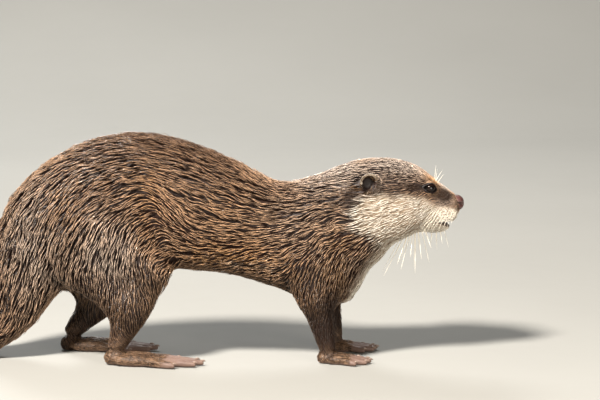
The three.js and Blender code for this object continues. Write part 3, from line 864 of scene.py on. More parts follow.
# %% Sockets and small sums
COLOUR, NUMBER = "NodeSocketColor", "NodeSocketFloat"
MIX_SHARE, MIX_FIRST, MIX_SECOND, MIX_COLOUR_OUT = 0, 6, 7, 2


def socket(group, name, kind, way="INPUT", value=None):
    """A named input or output of a node group."""
    made = group.interface.new_socket(name=name, in_out=way, socket_type=kind)
    if value is not None:
        made.default_value = value


def give(tree, slot, value):
    """Puts a socket's output or a plain value into an input."""
    if isinstance(value, bpy.types.NodeSocket):
        tree.links.new(value, slot)
    else:
        slot.default_value = value


def mixed(tree, share, a, b):
    """Adds a colour mix and returns its output. a and b are sockets or colours."""
    node = tree.nodes.new("ShaderNodeMix")
    node.data_type = "RGBA"
    for number, value in ((MIX_SHARE, share), (MIX_FIRST, a), (MIX_SECOND, b)):
        give(tree, node.inputs[number], value)
    return node.outputs[MIX_COLOUR_OUT]


def worked(tree, operation, *values):
    """Adds a Math node and returns its output. Values are sockets or numbers."""
    node = tree.nodes.new("ShaderNodeMath")
    node.operation = operation
    for slot, value in zip(node.inputs, values):
        give(tree, slot, value)
    return node.outputs[0]


def scaled(tree, value, gain, plus):
    """A value times gain, and something added. Both may be sockets or numbers."""
    return worked(tree, "MULTIPLY_ADD", value, gain, plus)


# %% Node group: colour of the hair
# A strand is painted lightest toward its tip and on the crest of its lock, and dark at its root
# and on the lock's sides: a painted highlight along the crests and painted shade in the furrows
# between locks. Some locks are lighter than others in their own tone. What is lit so also holds
# the brightest film of water.
CREST_GAIN, CREST_LEAST = 0.72, 0.14
LOCK_GAIN, HAIR_GAIN = 0.25, 0.2
CONTRAST, SHADE = 2.1, -0.94

hair = bpy.data.node_groups.new("hair_colour", "ShaderNodeTree")
for name, code in (
    ("Brown root", "#1c0f08"), ("Brown tip", "#bd9878"), ("Dark", "#22130b"),
    ("Warm root", "#26120a"), ("Warm tip", "#c0925f"), ("Ash sheen root", "#1f130f"),
    ("Ash sheen tip", "#eedccb"), ("Pale root", "#705636"), ("Pale tip", "#fffcf0"),
):
    socket(hair, name, COLOUR, value=tint(code))
for name in ("Pale", "Warm", "Ash sheen", "Darker", "Toward tip", "Lock", "Crest", "Hair"):
    socket(hair, name, NUMBER, value=0.5)
socket(hair, "Colour", COLOUR, "OUTPUT")
socket(hair, "Roughness", NUMBER, "OUTPUT")
socket(hair, "Wet", NUMBER, "OUTPUT")
inlet = hair.nodes.new("NodeGroupInput").outputs
outlet = hair.nodes.new("NodeGroupOutput").inputs
lit = scaled(hair, inlet["Crest"], CREST_GAIN, CREST_LEAST)
lit = worked(hair, "MULTIPLY", inlet["Toward tip"], lit)
lit = scaled(hair, inlet["Lock"], LOCK_GAIN, lit)
lit = scaled(hair, inlet["Hair"], HAIR_GAIN, lit)
lit = scaled(hair, lit, CONTRAST, SHADE)
lit = worked(hair, "MINIMUM", worked(hair, "MAXIMUM", lit, 0.0), 1.0)
coat = mixed(hair, lit, inlet["Brown root"], inlet["Brown tip"])
# Painted grey sheen of the wet coat, partly greyer hair.
ash_sheen = mixed(hair, lit, inlet["Ash sheen root"], inlet["Ash sheen tip"])
coat = mixed(hair, inlet["Ash sheen"], coat, ash_sheen)
warm = mixed(hair, lit, inlet["Warm root"], inlet["Warm tip"])
coat = mixed(hair, inlet["Warm"], coat, warm)
coat = mixed(hair, worked(hair, "MULTIPLY", inlet["Darker"], 0.9), coat, inlet["Dark"])
creamy = scaled(hair, lit, 0.96, 0.13)
cream = mixed(hair, creamy, inlet["Pale root"], inlet["Pale tip"])
coat = mixed(hair, inlet["Pale"], coat, cream)
hair.links.new(coat, outlet["Colour"])
hair.links.new(scaled(hair, inlet["Hair"], 0.2, 0.22), outlet["Roughness"])
hair.links.new(scaled(hair, lit, 0.75, 0.02), outlet["Wet"])
print("nodes of the hair's colour:", len(hair.nodes))

# %% Node group: fine pebbles of bare skin
pebbled = bpy.data.node_groups.new("fine_pebbles", "ShaderNodeTree")
socket(pebbled, "Size", NUMBER, value=1500.0)
socket(pebbled, "Wrinkle size", NUMBER, value=420.0)
socket(pebbled, "Height", NUMBER, "OUTPUT")
socket(pebbled, "Hollows", NUMBER, "OUTPUT")
inlet = pebbled.nodes.new("NodeGroupInput").outputs
outlet = pebbled.nodes.new("NodeGroupOutput").inputs
where = pebbled.nodes.new("ShaderNodeTexCoord").outputs["Object"]
cells = pebbled.nodes.new("ShaderNodeTexVoronoi")
cells.feature = "F1"
wrinkles = pebbled.nodes.new("ShaderNodeTexNoise")
wrinkles.inputs["Detail"].default_value = 4
pebbled.links.new(where, cells.inputs["Vector"])
pebbled.links.new(where, wrinkles.inputs["Vector"])
pebbled.links.new(inlet["Size"], cells.inputs["Scale"])
pebbled.links.new(inlet["Wrinkle size"], wrinkles.inputs["Scale"])
domes = worked(pebbled, "SUBTRACT", 1.0, cells.outputs["Distance"])
pebbled.links.new(scaled(pebbled, wrinkles.outputs["Fac"], 0.8, domes), outlet["Height"])
pebbled.links.new(cells.outputs["Distance"], outlet["Hollows"])
print("nodes of the pebbles:", len(pebbled.nodes))

# %% Materials: the shared frame of each
def material(name, **settings):
    """A material with the numbers that are the same all over it set on its shader."""
    made = bpy.data.materials.new(name)
    made.use_nodes = True
    shader = made.node_tree.nodes["Principled BSDF"]
    for socket_name, value in settings.items():
        shader.inputs[socket_name.replace("_", " ")].default_value = value
    return made, made.node_tree, shader


def read(tree, name):
    """The number that the mesh holds by this name at each point."""
    node = tree.nodes.new("ShaderNodeAttribute")
    node.attribute_name = name
    return node.outputs["Fac"]


def group_in(tree, group, **values):
    """A node group placed in a material with these inputs. Returns its outputs."""
    node = tree.nodes.new("ShaderNodeGroup")
    node.node_tree = group
    for name, value in values.items():
        give(tree, node.inputs[name.replace("_", " ")], value)
    return node.outputs


def hair_in(tree, **values):
    """The colour of the hair with the markings that the mesh holds."""
    marks = {name: read(tree, mark) for name, mark in (
        ("Pale", "mark_pale"), ("Warm", "mark_warm"), ("Darker", "mark_dark_and_shade"), ("Ash sheen", "mark_ash_sheen"),
    )}
    return group_in(tree, hair, **marks, **values)


def bumped(tree, shader, height, strength, reach):
    """Raises the surface by a height, over a reach in metres."""
    node = tree.nodes.new("ShaderNodeBump")
    node.inputs["Strength"].default_value = strength
    node.inputs["Distance"].default_value = reach
    tree.links.new(height, node.inputs["Height"])
    tree.links.new(node.outputs[0], shader.inputs["Normal"])


def noise(tree, scale, detail=3.0):
    """A soft noise that goes with the surface, of about scale grains in a metre."""
    node = tree.nodes.new("ShaderNodeTexNoise")
    node.inputs["Scale"].default_value = scale
    node.inputs["Detail"].default_value = detail
    where = tree.nodes.new("ShaderNodeTexCoord").outputs["Object"]
    tree.links.new(where, node.inputs["Vector"])
    return node.outputs["Fac"]


def grained(name, specular, colours, rough, bump):
    """A finish whose two colours, roughness and bump each follow a noise of their own.
    colours is a scale and two codes, rough is a scale, a gain and the least roughness,
    and bump is a scale, a strength and a reach."""
    made, tree, shader = material(name, Specular_IOR_Level=specular)
    scale, low, high = colours
    colour = mixed(tree, noise(tree, scale), tint(low), tint(high))
    tree.links.new(colour, shader.inputs["Base Color"])
    scale, gain, least = rough
    tree.links.new(scaled(tree, noise(tree, scale), gain, least), shader.inputs["Roughness"])
    scale, strength, reach = bump
    bumped(tree, shader, noise(tree, scale), strength, reach)
    return made, tree, shader


HAIR_GRAIN = 900.0

# %% Material: wet coat
coat_material, tree, shader = material(
    "wet_coat", Specular_IOR_Level=0.3, Coat_Roughness=0.14,
)
hair_out = hair_in(
    tree, Toward_tip=read(tree, "toward_tip"), Crest=read(tree, "crest"),
    Lock=read(tree, "lock_shade"), Hair=noise(tree, HAIR_GRAIN),
)
tree.links.new(hair_out["Colour"], shader.inputs["Base Color"])
tree.links.new(hair_out["Roughness"], shader.inputs["Roughness"])
tree.links.new(hair_out["Wet"], shader.inputs["Coat Weight"])
bumped(tree, shader, noise(tree, 2600.0, 2.0), 0.25, 0.0002)

# %% Material: skin under the coat, and bare skin
skin_material, tree, shader = material("otter_skin", Specular_IOR_Level=0.3)
under_hair = hair_in(
    tree, Toward_tip=read(tree, "skin_light_with_furrow_shade"), Crest=noise(tree, 300.0),
    Lock=noise(tree, 120.0), Hair=noise(tree, HAIR_GRAIN),
)
pebbles = group_in(tree, pebbled, Size=1100.0, Wrinkle_size=380.0)
bare_colour = mixed(tree, noise(tree, 90.0), tint("#4b3a33"), tint("#7c675b"))
# Painted shade in the hollows between the pebbles.
pebble_hollow_shade = worked(tree, "MULTIPLY", pebbles["Hollows"], 0.5)
bare_colour = mixed(tree, pebble_hollow_shade, bare_colour, tint("#4a3632"))
surface = mixed(tree, read(tree, "mark_bare"), under_hair["Colour"], bare_colour)
# Painted on the skin: the dark lids with painted shade in the ear's hollow, the dark lip edges
# with painted shade inside the open mouth, and the whisker dots.
for mark, code in (("mark_lid", "#140c0b"), ("mark_lips_and_mouth_shade", "#1d0b0b"), ("mark_dots", "#3a2320")):
    surface = mixed(tree, read(tree, mark), surface, tint(code))
tree.links.new(surface, shader.inputs["Base Color"])
gloss = scaled(tree, read(tree, "mark_lid"), -0.05, 0.55)
tree.links.new(gloss, shader.inputs["Roughness"])
not_furred = scaled(tree, read(tree, "mark_bare"), 0.8, 0.2)
bumped(tree, shader, worked(tree, "MULTIPLY", pebbles["Height"], not_furred), 0.35, 0.0004)

# %% The skin as a piece
EAR_HOLLOW_SHADE = 0.75
SKIN_LIGHT, SKIN_LIGHT_THIN = 0.1, 0.5
THIN_COAT = (1.6, 0.5)
DOT_EDGE, DOT_SHARE, NO_DOT = (1.15, 0.65), 0.9, 9.0

skin_q = drawn(places(skin_mesh))
for name, values in markings(skin_q).items():
    write_value(skin_mesh, name, values)
in_ear = ear_parts(skin_q)[1]
# The lids' own dark skin, and painted shade in the ear's hollow.
write_value(skin_mesh, "mark_lid", np.maximum(lid_dark, EAR_HOLLOW_SHADE * in_ear))
write_value(skin_mesh, "mark_lips_and_mouth_shade", in_mouth)
thin_coat = ramp(*THIN_COAT, zone_mix(skin_q)[:, DEPTH])
# Skin under a thick coat is painted dark, as painted shade in the furrows between locks. It is
# lighter under a thin coat, and darkest in the ear's hollow, which is painted shade too.
write_value(skin_mesh, "skin_light_with_furrow_shade", (SKIN_LIGHT + SKIN_LIGHT_THIN * thin_coat) * (1 - in_ear))
on_pad = (skin_q[:, 0] > 178) & (np.abs(skin_q[:, 1]) > 3) & (skin_q[:, 2] < 145)
to_root = np.full(len(skin_q), NO_DOT)
flat = skin_q[on_pad][:, (0, 2)]
to_root[on_pad] = np.sqrt(((flat[:, None] - whisker_roots[None]) ** 2).sum(2)).min(1)
write_value(skin_mesh, "mark_dots", ramp(*DOT_EDGE, to_root) * DOT_SHARE)
skin_piece = piece_of("otter_skin", skin_mesh, skin_material)
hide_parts(*[n for n in FLESH if not n.startswith(("eye", "nose"))])

# %% [markdown]
# ## The coat
# Particle hair would be quick, but a reusable model needs solid mesh. The hair of a wet
# otter clings together in pointed locks, so each lock is a few thin three-sided strands
# that start side by side and meet at the tip. A lock is combed by walking along the skin
# in three steps, turning with the lie of the coat, so it hugs the body and curves with it.

# %% The skin as a list of triangles
coat_rng = np.random.default_rng(7)


def corner_table(me):
    """The corners of each face, three of them, with quads cut in two."""
    me.calc_loop_triangles()
    table = np.empty(len(me.loop_triangles) * 3, np.int32)
    me.loop_triangles.foreach_get("vertices", table)
    return table.reshape(-1, 3)


skin_points = drawn(places(skin_mesh))
skin_normals = normals(skin_mesh)
triangles = corner_table(skin_mesh)
skin_tree = BVHTree.FromPolygons(
    [tuple(p) for p in skin_points], [tuple(t) for t in triangles.tolist()]
)
a, b, c = (skin_points[triangles[:, k]] for k in range(3))
areas = np.linalg.norm(np.cross(b - a, c - a), axis=1) / 2
print("skin area, cm2:", round(areas.sum() / 100))


# %% A gentle wave in the lie of the coat
# The waves are in degrees. They are strongest on the neck and weaker on the head.
WAVE_SIZE = 8.0
EVEN_WAVE, NECK_WAVE = 10.0, 12.0
LESS_ON_HEAD = 0.4
NECK_MIDDLE, NECK_RADII = (85, 0, 125), (45, 9, 50)


def turned(way, normal, angle):
    """A way on the surface, turned about the way out."""
    return way * np.cos(angle)[:, None] + np.cross(normal, way) * np.sin(angle)[:, None]


def combed_way(q, normal):
    """The lie of the coat with the waves that water leaves in it."""
    on_neck = around(q * (1, 0, 1), NECK_MIDDLE, NECK_RADII)
    even = EVEN_WAVE * (1 - LESS_ON_HEAD * ramp(108, 125, q[:, 0]))
    angle = np.radians(even + NECK_WAVE * on_neck) * ripple(q, WAVE_SIZE)
    return turned(way_of_hair(q, normal), normal, angle)


# %% Where no lock grows
BALD_EYE_LONG, BALD_EYE_HIGH, BALD_EYE_REACH = 7.6, 4.6, 12
BALD_SOLE, BALD_TOES = 3, 0.45
BALD_EAR, BALD_EAR_FROM = 4.6, -12


def bald(q):
    """The eye openings, the nose pad, the soles and toes, the lips, and deep in the ears."""
    rearward, upward, _ = eye_frame(q)
    eye_away = np.sqrt((rearward / BALD_EYE_LONG) ** 2 + (upward / BALD_EYE_HIGH) ** 2)
    by_eye = (eye_away < 1) & (np.linalg.norm(mirrored(q) - EYE, axis=1) < BALD_EYE_REACH)
    nose = around(q, NOSE_PAD + (2, 0, 0), (7.5, 8.5, 7)) > 0.42
    sole = q[:, 2] < BALD_SOLE
    ahead, from_line = mouth(q)
    lips = (ahead > 0.35) & (ahead < 1.3) & (from_line < 0.9) & (from_line > -1.7)
    toes = bare_of(q) > BALD_TOES
    along, _, in_hollow, _ = ear_frame(q)
    deep_ear = (in_hollow < BALD_EAR) & (along > BALD_EAR_FROM)
    return by_eye | nose | sole | lips | toes | deep_ear


# %% Lines of locks
# Wet locks lie one behind the other in long lines with dark furrows between them. So the
# roots are set along lines that follow the lie of the coat. A new line starts wherever no
# other passes near, and it ends where it would crowd one or has run its length. All the
# distances are in gaps between locks, apart from the grid's cells, which are in mm.
CANDIDATES = 3.4
STRIDE = 1.25
START_CLEAR, RUN_CLEAR, LOOK_ALONG = 0.74, 0.56, 0.8
LONGEST_RUN = 5
GRID = 3.6

triangle_gap = zone_mix((a + b + c) / 3)[:, SPACING]
counts = coat_rng.poisson(areas / triangle_gap ** 2 * CANDIDATES)
which = coat_rng.permutation(np.repeat(np.arange(len(triangles)), counts))
first, second = np.sqrt(coat_rng.random(len(which))), coat_rng.random(len(which))
weights = np.stack([1 - first, first * (1 - second), first * second], 1)
starts = (skin_points[triangles[which]] * weights[:, :, None]).sum(1).tolist()
start_corners = triangles[which, 0].tolist()
runs = coat_rng.integers(1, LONGEST_RUN + 1, (len(which), 2)).tolist()
print("places where a line may start:", len(starts))

# %% What the skin says at each corner
corner_way = combed_way(skin_points, skin_normals).tolist()
corner_gap = zone_mix(skin_points)[:, SPACING].tolist()
corner_bald = bald(skin_points).tolist()
first_corner = triangles[:, 0].tolist()
print("bald corners:", sum(corner_bald), "of", len(corner_bald))

# %% Keep clear of the lines that are there
NEARBY = [(i, j, k) for i in (-1, 0, 1) for j in (-1, 0, 1) for k in (-1, 0, 1)]
taken = {}
found_roots, found_corners, found_lines = [], [], []


def cell_of(place):
    return int(place[0] // GRID), int(place[1] // GRID), int(place[2] // GRID)


def crowded(place, corner, clear, line):
    """Whether a line other than this one passes too near beside a place."""
    x, y, z = place
    wx, wy, wz = corner_way[corner]
    gap = corner_gap[corner]
    i, j, k = cell_of(place)
    for di, dj, dk in NEARBY:
        for ox, oy, oz, other in taken.get((i + di, j + dj, k + dk), ()):
            if other == line:
                continue
            dx, dy, dz = x - ox, y - oy, z - oz
            along = dx * wx + dy * wy + dz * wz
            if abs(along) > LOOK_ALONG * gap:
                continue
            if dx * dx + dy * dy + dz * dz - along * along < (clear * gap) ** 2:
                return True
    return False


def take(place, corner, line):
    """Sets a lock of a line at a place."""
    taken.setdefault(cell_of(place), []).append((*place, line))
    found_roots.append(place)
    found_corners.append(corner)
    found_lines.append(line)


# %% Run the lines along the coat
for line, (start, corner, run) in enumerate(zip(starts, start_corners, runs)):
    if corner_bald[corner] or crowded(start, corner, START_CLEAR, line):
        continue
    take(start, corner, line)
    for sign, steps in zip((1, -1), run):
        here, at = start, corner
        for _ in range(steps):
            stride = sign * STRIDE * corner_gap[at]
            ahead_of = [p + w * stride for p, w in zip(here, corner_way[at])]
            place, _, triangle, _ = skin_tree.find_nearest(ahead_of)
            here, at = place.to_tuple(), first_corner[triangle]
            if corner_bald[at] or crowded(here, at, RUN_CLEAR, line):
                break
            take(here, at, line)
roots = np.array(found_roots)
line_of = np.array(found_lines)
roots_ok = ~bald(roots)
roots, line_of = roots[roots_ok], line_of[roots_ok]
root_ways_out = skin_normals[np.array(found_corners)[roots_ok]]
root_mix = zone_mix(roots)
print("lines:", len(np.unique(line_of)), "locks:", len(roots))

# %% Comb each lock along the skin
# Behind the end of the tail a lock hangs free, so that the tail ends in a soft point.
STEPS = (0.38, 0.34, 0.28)
LENGTH_VARIES = (0.8, 1.25)
STRAY, CURL = math.radians(3.5), math.radians(6)
TAIL_FREE, TAIL_FADE = -433, 8


def onto_skin(q):
    """The nearest places on the skin and the ways out of it there."""
    hits = [skin_tree.find_nearest(p) for p in q.tolist()]
    return np.array([h[0] for h in hits]), np.array([h[1] for h in hits])


lock_length = root_mix[:, LENGTH] * coat_rng.uniform(*LENGTH_VARIES, len(roots))
stray = coat_rng.normal(0, STRAY, len(roots))
curl = coat_rng.normal(0, CURL, len(roots))
path, outs, ways = [roots], [root_ways_out], []
for number, step in enumerate(STEPS):
    way = combed_way(path[-1], outs[-1])
    way = turned(way, outs[-1], stray + curl * (number - 1))
    ways.append(way)
    free = path[-1] + way * (lock_length * step)[:, None]
    place, out = onto_skin(free)
    past_tip = ramp(TAIL_FREE, TAIL_FREE - TAIL_FADE, path[-1][:, 0])[:, None]
    path.append(place + (free - place) * past_tip)
    outs.append(unit(out + outs[-1]))
ways.append(ways[-1])
path, outs, ways = np.stack(path, 1), np.stack(outs, 1), unit(np.stack(ways, 1))
beside = unit(np.cross(outs, ways))
print("combed, mean length mm:", lock_length.mean().round(1))

# %% How many strands each lock has
FINE_GAP, MIDDLE_GAP = 1.45 * CLOSER, 2.3 * CLOSER
STRANDS_FINE, STRANDS_MIDDLE, STRANDS_BROAD = 2, 3, 4
ONE_MORE_OR_LESS = 0.3

lock_gap = root_mix[:, SPACING]
strands_each = np.select(
    [lock_gap < FINE_GAP, lock_gap < MIDDLE_GAP], [STRANDS_FINE, STRANDS_MIDDLE], STRANDS_BROAD
)
one_more = coat_rng.random(len(roots)) < ONE_MORE_OR_LESS
one_less = coat_rng.random(len(roots)) < ONE_MORE_OR_LESS
strands_each = strands_each + one_more - one_less
print("strands in a lock, mean:", strands_each.mean().round(2))

# %% Strands of each lock
# The four numbers in a row are for the root, two places along the strand, and its tip.
# Heights are in coat depths, widths in strand widths, and the strands of a lock close up
# to the given share of its width.
RISE = np.array((-0.12, 0.62, 0.98, 0.86))
WIDTHS = np.array((0.9, 1.0, 0.62, 0.0))
CLOSING = np.array((1.0, 0.55, 0.25, 0.04))
TOWARD_TIP = np.array((0.0, 0.42, 0.8, 1.0))
SLIDE = np.array((0.6, 0.8, 1.0, 1.0))
LOCK_WIDTH = 0.48
RIDGE = 0.45
CREST_NARROW = 1.5
DEPTH_LEAST, DEPTH_MOST = 0.6, 1.5
STRAND_VARIES, BACK_VARIES = (0.7, 1.05), (-0.1, 0.16)

lock_of = np.repeat(np.arange(len(roots)), strands_each)
first_of_lock = np.concatenate(([0], np.cumsum(strands_each)[:-1]))
place_in_lock = np.arange(len(lock_of)) - first_of_lock[lock_of]
share_across = (place_in_lock + 0.5) / strands_each[lock_of] * 2 - 1
share_across = share_across + coat_rng.normal(0, 0.12, len(lock_of))
lock_width = lock_gap * LOCK_WIDTH
deeper = np.clip(coat_rng.normal(1.0, 0.16, len(roots)), DEPTH_LEAST, DEPTH_MOST)
lift = root_mix[:, DEPTH] * deeper
strand_width = root_mix[:, STRAND] * coat_rng.uniform(*STRAND_VARIES, len(roots))
ridge = (1 - share_across ** 2) * RIDGE * strand_width[lock_of]
back_by = coat_rng.uniform(*BACK_VARIES, len(lock_of)) * lock_length[lock_of]
uneven = coat_rng.normal(0, 0.18, len(lock_of))
# How near a strand lies to its lock's middle: the colour paints a highlight there and shade at the
# sides.
crest = np.clip(1 - share_across ** 2 * CREST_NARROW + uneven, 0, 1)

aside = share_across[:, None] * lock_width[lock_of][:, None] / 2 * CLOSING
height = lift[lock_of][:, None] * RISE + ridge[:, None]
slide = back_by[:, None] * SLIDE
centres = path[lock_of] + beside[lock_of] * aside[:, :, None]
centres = centres + outs[lock_of] * height[:, :, None]
centres = centres - ways[lock_of] * slide[:, :, None]
print("strands:", len(lock_of), "widest, mm:", strand_width.max().round(2))

# %% Places and faces of the strands
# A long lock has three rings and a tip to each strand. In a short one, as on the face or
# a paw, the two middle places are taken together, which leaves two rings.
SHORT_LOCK = 12.7
CORNER_TURNS = np.radians((90, 210, 330))
THICK_OF_WIDTH = 0.62
KINDS = {
    True: np.array(((1, 0, 0, 0), (0, 0.5, 0.5, 0), (0, 0, 0, 1.0))),
    False: np.eye(4),
}
FLOOR_GAP, FLOOR_SOFT = 0.3, 1.2

short = root_mix[lock_of, LENGTH] < SHORT_LOCK
print("strands with two rings:", short.sum())


def strand_shape(rings):
    """The faces of one strand: a closed root, a tube of three sides, and a point."""
    faces = [(2, 1, 0)]
    for ring in range(rings - 1):
        for k in range(3):
            low, along = ring * 3 + k, ring * 3 + (k + 1) % 3
            faces.append((low, along, along + 3, low + 3))
    last = (rings - 1) * 3
    faces += [(last + k, last + (k + 1) % 3, rings * 3) for k in range(3)]
    return np.array([len(f) for f in faces]), np.array([n for f in faces for n in f])


def above_floor(z):
    """Heights in mm, with those that would dip into the floor laid just above it."""
    room = FLOOR_SOFT - FLOOR_GAP
    return np.where(z < FLOOR_SOFT, FLOOR_GAP + room * np.exp((z - FLOOR_SOFT) / room), z)


def strand_points(which, stations):
    """The points of these strands, how near its tip each point is, and how far round."""
    rings = len(stations) - 1
    middle_line = np.einsum("sk,nkc->nsc", stations, centres[which])
    side = np.einsum("sk,nkc->nsc", stations, beside[lock_of[which]])[:, :rings, None]
    up = np.einsum("sk,nkc->nsc", stations, outs[lock_of[which]])[:, :rings, None]
    radius = strand_width[lock_of[which]][:, None] / 2 * (stations @ WIDTHS)[:rings]
    turns = CORNER_TURNS[:, None]
    ring = side * np.cos(turns) + up * np.sin(turns) * THICK_OF_WIDTH
    rings_at = middle_line[:, :rings, None] + radius[:, :, None, None] * ring
    points = np.concatenate((rings_at.reshape(-1, rings * 3, 3), middle_line[:, rings:]), 1)
    points[:, :, 2] = above_floor(points[:, :, 2])
    near_tip = np.repeat(stations @ TOWARD_TIP, [3] * rings + [1])
    return points, near_tip, np.array([0, 0.5, 1] * rings + [0.5])


# %% [markdown]
# ## A flat layout for the colours of the coat
# When the colours are baked, every lock needs a small patch of its own. Unrolling the body
# about its spine, and each leg about its bone, lays the roots out flat with little stretch,
# and neighbours stay neighbours. A lock then takes a patch at its root's place.

# %% Unroll about an axis
SPINE_AXIS = (
    (212, 0, 143), (180, 0, 144), (156, 0, 147), (127, 0, 143), (97, 0, 129), (64, 0, 118),
    (29, 0, 123), (-7, 0, 135), (-46, 0, 143), (-83, 0, 144), (-121, 0, 134),
    (-158, 0, 112), (-186, 0, 78), (-205, 0, 44), (-240, 1, 21.5), (-290, 7, 15.5),
    (-342, 16, 11.5), (-392, 21, 8), (-442, 18, 4.5),
)
FORE_AXIS = ((76, 32, 123), (78, 33, 66), (85, 33, 38), (92, 31, 10), (132, 33, 4))
HIND_AXES = {
    "right": ((-112, 36, 150), (-98, 37, 88), (-92, 40, 52), (-103, 38, 14), (-22, 40, 4)),
    "left": ((-124, 36, 148), (-114, 37, 84), (-121, 40, 52), (-148, 37, 16), (-66, 34, 4)),
}


def unrolled(q, axis):
    """How far along an axis each place lies, and how far round it, both in mm."""
    axis = np.asarray(axis, float)
    starts, spans = axis[:-1], axis[1:] - axis[:-1]
    lengths = np.linalg.norm(spans, axis=1)
    before = np.concatenate(([0], np.cumsum(lengths)[:-1]))
    off = q[:, None, :] - starts[None]
    share = np.clip((off * spans).sum(2) / lengths ** 2, 0, 1)
    away = off - share[:, :, None] * spans
    distance = np.linalg.norm(away, axis=2)
    best = distance.argmin(1)
    rows = np.arange(len(q))
    tangent = unit(spans)[best]
    side = np.array((0.0, 1.0, 0.0))
    up = unit(np.cross(side, tangent))
    away, distance = away[rows, best], distance[rows, best]
    angle = np.arctan2(away @ side, -(away * up).sum(1))
    return before[best] + share[rows, best] * lengths[best], angle * distance


# %% Sort the locks into pieces
# A leg's box is given by its back, its front and its top. The trunk is cut at distances
# along the spine from the nose.
FORE_BOX, HIND_BOX = (55, 150, 68), (-186, -14, 74)
BETWEEN_LEGS = 8
TRUNK_CUTS = {
    "face": 42, "crown": 92, "neck": 140, "shoulders": 178, "ribs": 216, "waist": 262,
    "loin": 304, "hips": 346, "rump": 412, "tail_base": 500, "tail": 9999,
}


def on_leg(back, front, top):
    x, y, z = roots.T
    return (x > back) & (x < front) & (z < top) & (np.abs(y) > BETWEEN_LEGS)


fore, hind = on_leg(*FORE_BOX), on_leg(*HIND_BOX)
right = roots[:, 1] < 0
along_spine, _ = unrolled(roots, SPINE_AXIS)
pieces_of_coat = {}
for side, here in (("right", right), ("left", ~right)):
    flip = (1, SIDES[side], 1)
    pieces_of_coat[f"coat_foreleg_{side}"] = (fore & here, np.array(FORE_AXIS) * flip)
    pieces_of_coat[f"coat_hindleg_{side}"] = (hind & here, np.array(HIND_AXES[side]) * flip)
trunk, reached = ~(fore | hind), -1.0
for part, end in TRUNK_CUTS.items():
    inside = trunk & (along_spine > reached) & (along_spine <= end)
    pieces_of_coat[f"coat_{part}"] = (inside, np.array(SPINE_AXIS))
    reached = end
print("pieces of the coat:", len(pieces_of_coat))

# %% Light and dark locks
# Locks of one line are much alike, and lines beside each other differ.
EVEN_ODDS = 2.0
OF_THE_LINE, OF_ITS_OWN, OF_THE_PLACE = 0.6, 0.4, 0.12
SHADE_RIPPLE = 30
root_marks = markings(roots)
line_shade = coat_rng.beta(EVEN_ODDS, EVEN_ODDS, line_of.max() + 1)[line_of]
own_shade = coat_rng.beta(EVEN_ODDS, EVEN_ODDS, len(roots))
lock_shade = OF_THE_LINE * line_shade + OF_ITS_OWN * own_shade
lock_shade = np.clip(lock_shade + OF_THE_PLACE * ripple(roots, SHADE_RIPPLE), 0, 1)
print("shade of the locks, mean:", lock_shade.mean().round(2))

# %% Build the pieces of the coat
PATCH, MARGIN, SPARE = 0.003, 0.01, 1.03
THIN_FACE, THIN_FACE_DEPTH, THIN_FACE_FROM = 0.6, (1.6, 0.8), 150


def coat_piece(name, chosen, axis):
    """One piece of the coat from the chosen locks, with its flat layout. Returns how many
    triangles it has."""
    along, round_it = unrolled(roots[chosen], axis)
    span = max(np.ptp(along), np.ptp(round_it)) * SPARE
    flat = np.full((len(roots), 2), 0.5)
    flat[chosen, 0] = MARGIN + (along - along.min()) / span
    flat[chosen, 1] = MARGIN + (round_it - round_it.min()) / span
    points, corners, sizes, locks, tips, crests, uv = [], [], [], [], [], [], []
    start = 0
    for kind, stations in KINDS.items():
        which = np.flatnonzero(chosen[lock_of] & (short == kind))
        here, near_tip, turn = strand_points(which, stations)
        shape, shape_corners = strand_shape(len(stations) - 1)
        each = here.shape[1]
        lock = lock_of[which]
        column = (place_in_lock[which][:, None] + turn * 0.9) / strands_each[lock][:, None]
        patch = np.stack(np.broadcast_arrays(column, near_tip), 2) - 0.5
        uv.append((flat[lock][:, None] + patch * PATCH)[:, shape_corners].reshape(-1, 2))
        corners.append((start + np.arange(len(which))[:, None] * each + shape_corners).ravel())
        points.append(here.reshape(-1, 3))
        sizes.append(np.tile(shape, len(which)))
        locks.append(np.repeat(lock, each))
        tips.append(np.tile(near_tip, len(which)))
        crests.append(np.repeat(crest[which], each))
        start += len(which) * each
    locks = np.concatenate(locks)
    sizes = np.concatenate(sizes)
    me = mesh_of(name, placed(np.concatenate(points)), np.concatenate(corners), sizes)
    tips = np.concatenate(tips)
    # Short hair on the face starts lighter, with less of the painted shade at its roots.
    thin = THIN_FACE * ramp(*THIN_FACE_DEPTH, root_mix[locks, DEPTH])
    thin = thin * (roots[locks, 0] > THIN_FACE_FROM)
    write_value(me, "toward_tip", thin + (1 - thin) * tips)
    write_value(me, "crest", np.concatenate(crests))
    write_value(me, "lock_shade", lock_shade[locks])
    for mark, values in root_marks.items():
        write_value(me, mark, values[locks])
    layer = me.uv_layers.new(name="OFBake")
    layer.uv.foreach_set("vector", np.concatenate(uv).astype(np.float32).ravel())
    made = piece_of(name, me, coat_material)
    return int((sizes - 2).sum())


coat_total = 0
for name, (chosen, axis) in pieces_of_coat.items():
    count = coat_piece(name, chosen, axis)
    coat_total += count
    print(name, "triangles:", count)
skin_total = sum(len(p.vertices) - 2 for p in skin_mesh.polygons)
print("coat triangles:", coat_total, "skin triangles:", skin_total)

# %% [markdown]
# ## Eyes
# A small-clawed otter's eye is almost black, with a wet cornea that stands out a little.
# A plain ball would do from afar. A ball whose front swells over the iris catches the lamp
# as a real one does, so the points near the line of sight are pushed outward. The colour
# runs from the pupil through a dark brown iris to the black rim by that same distance.

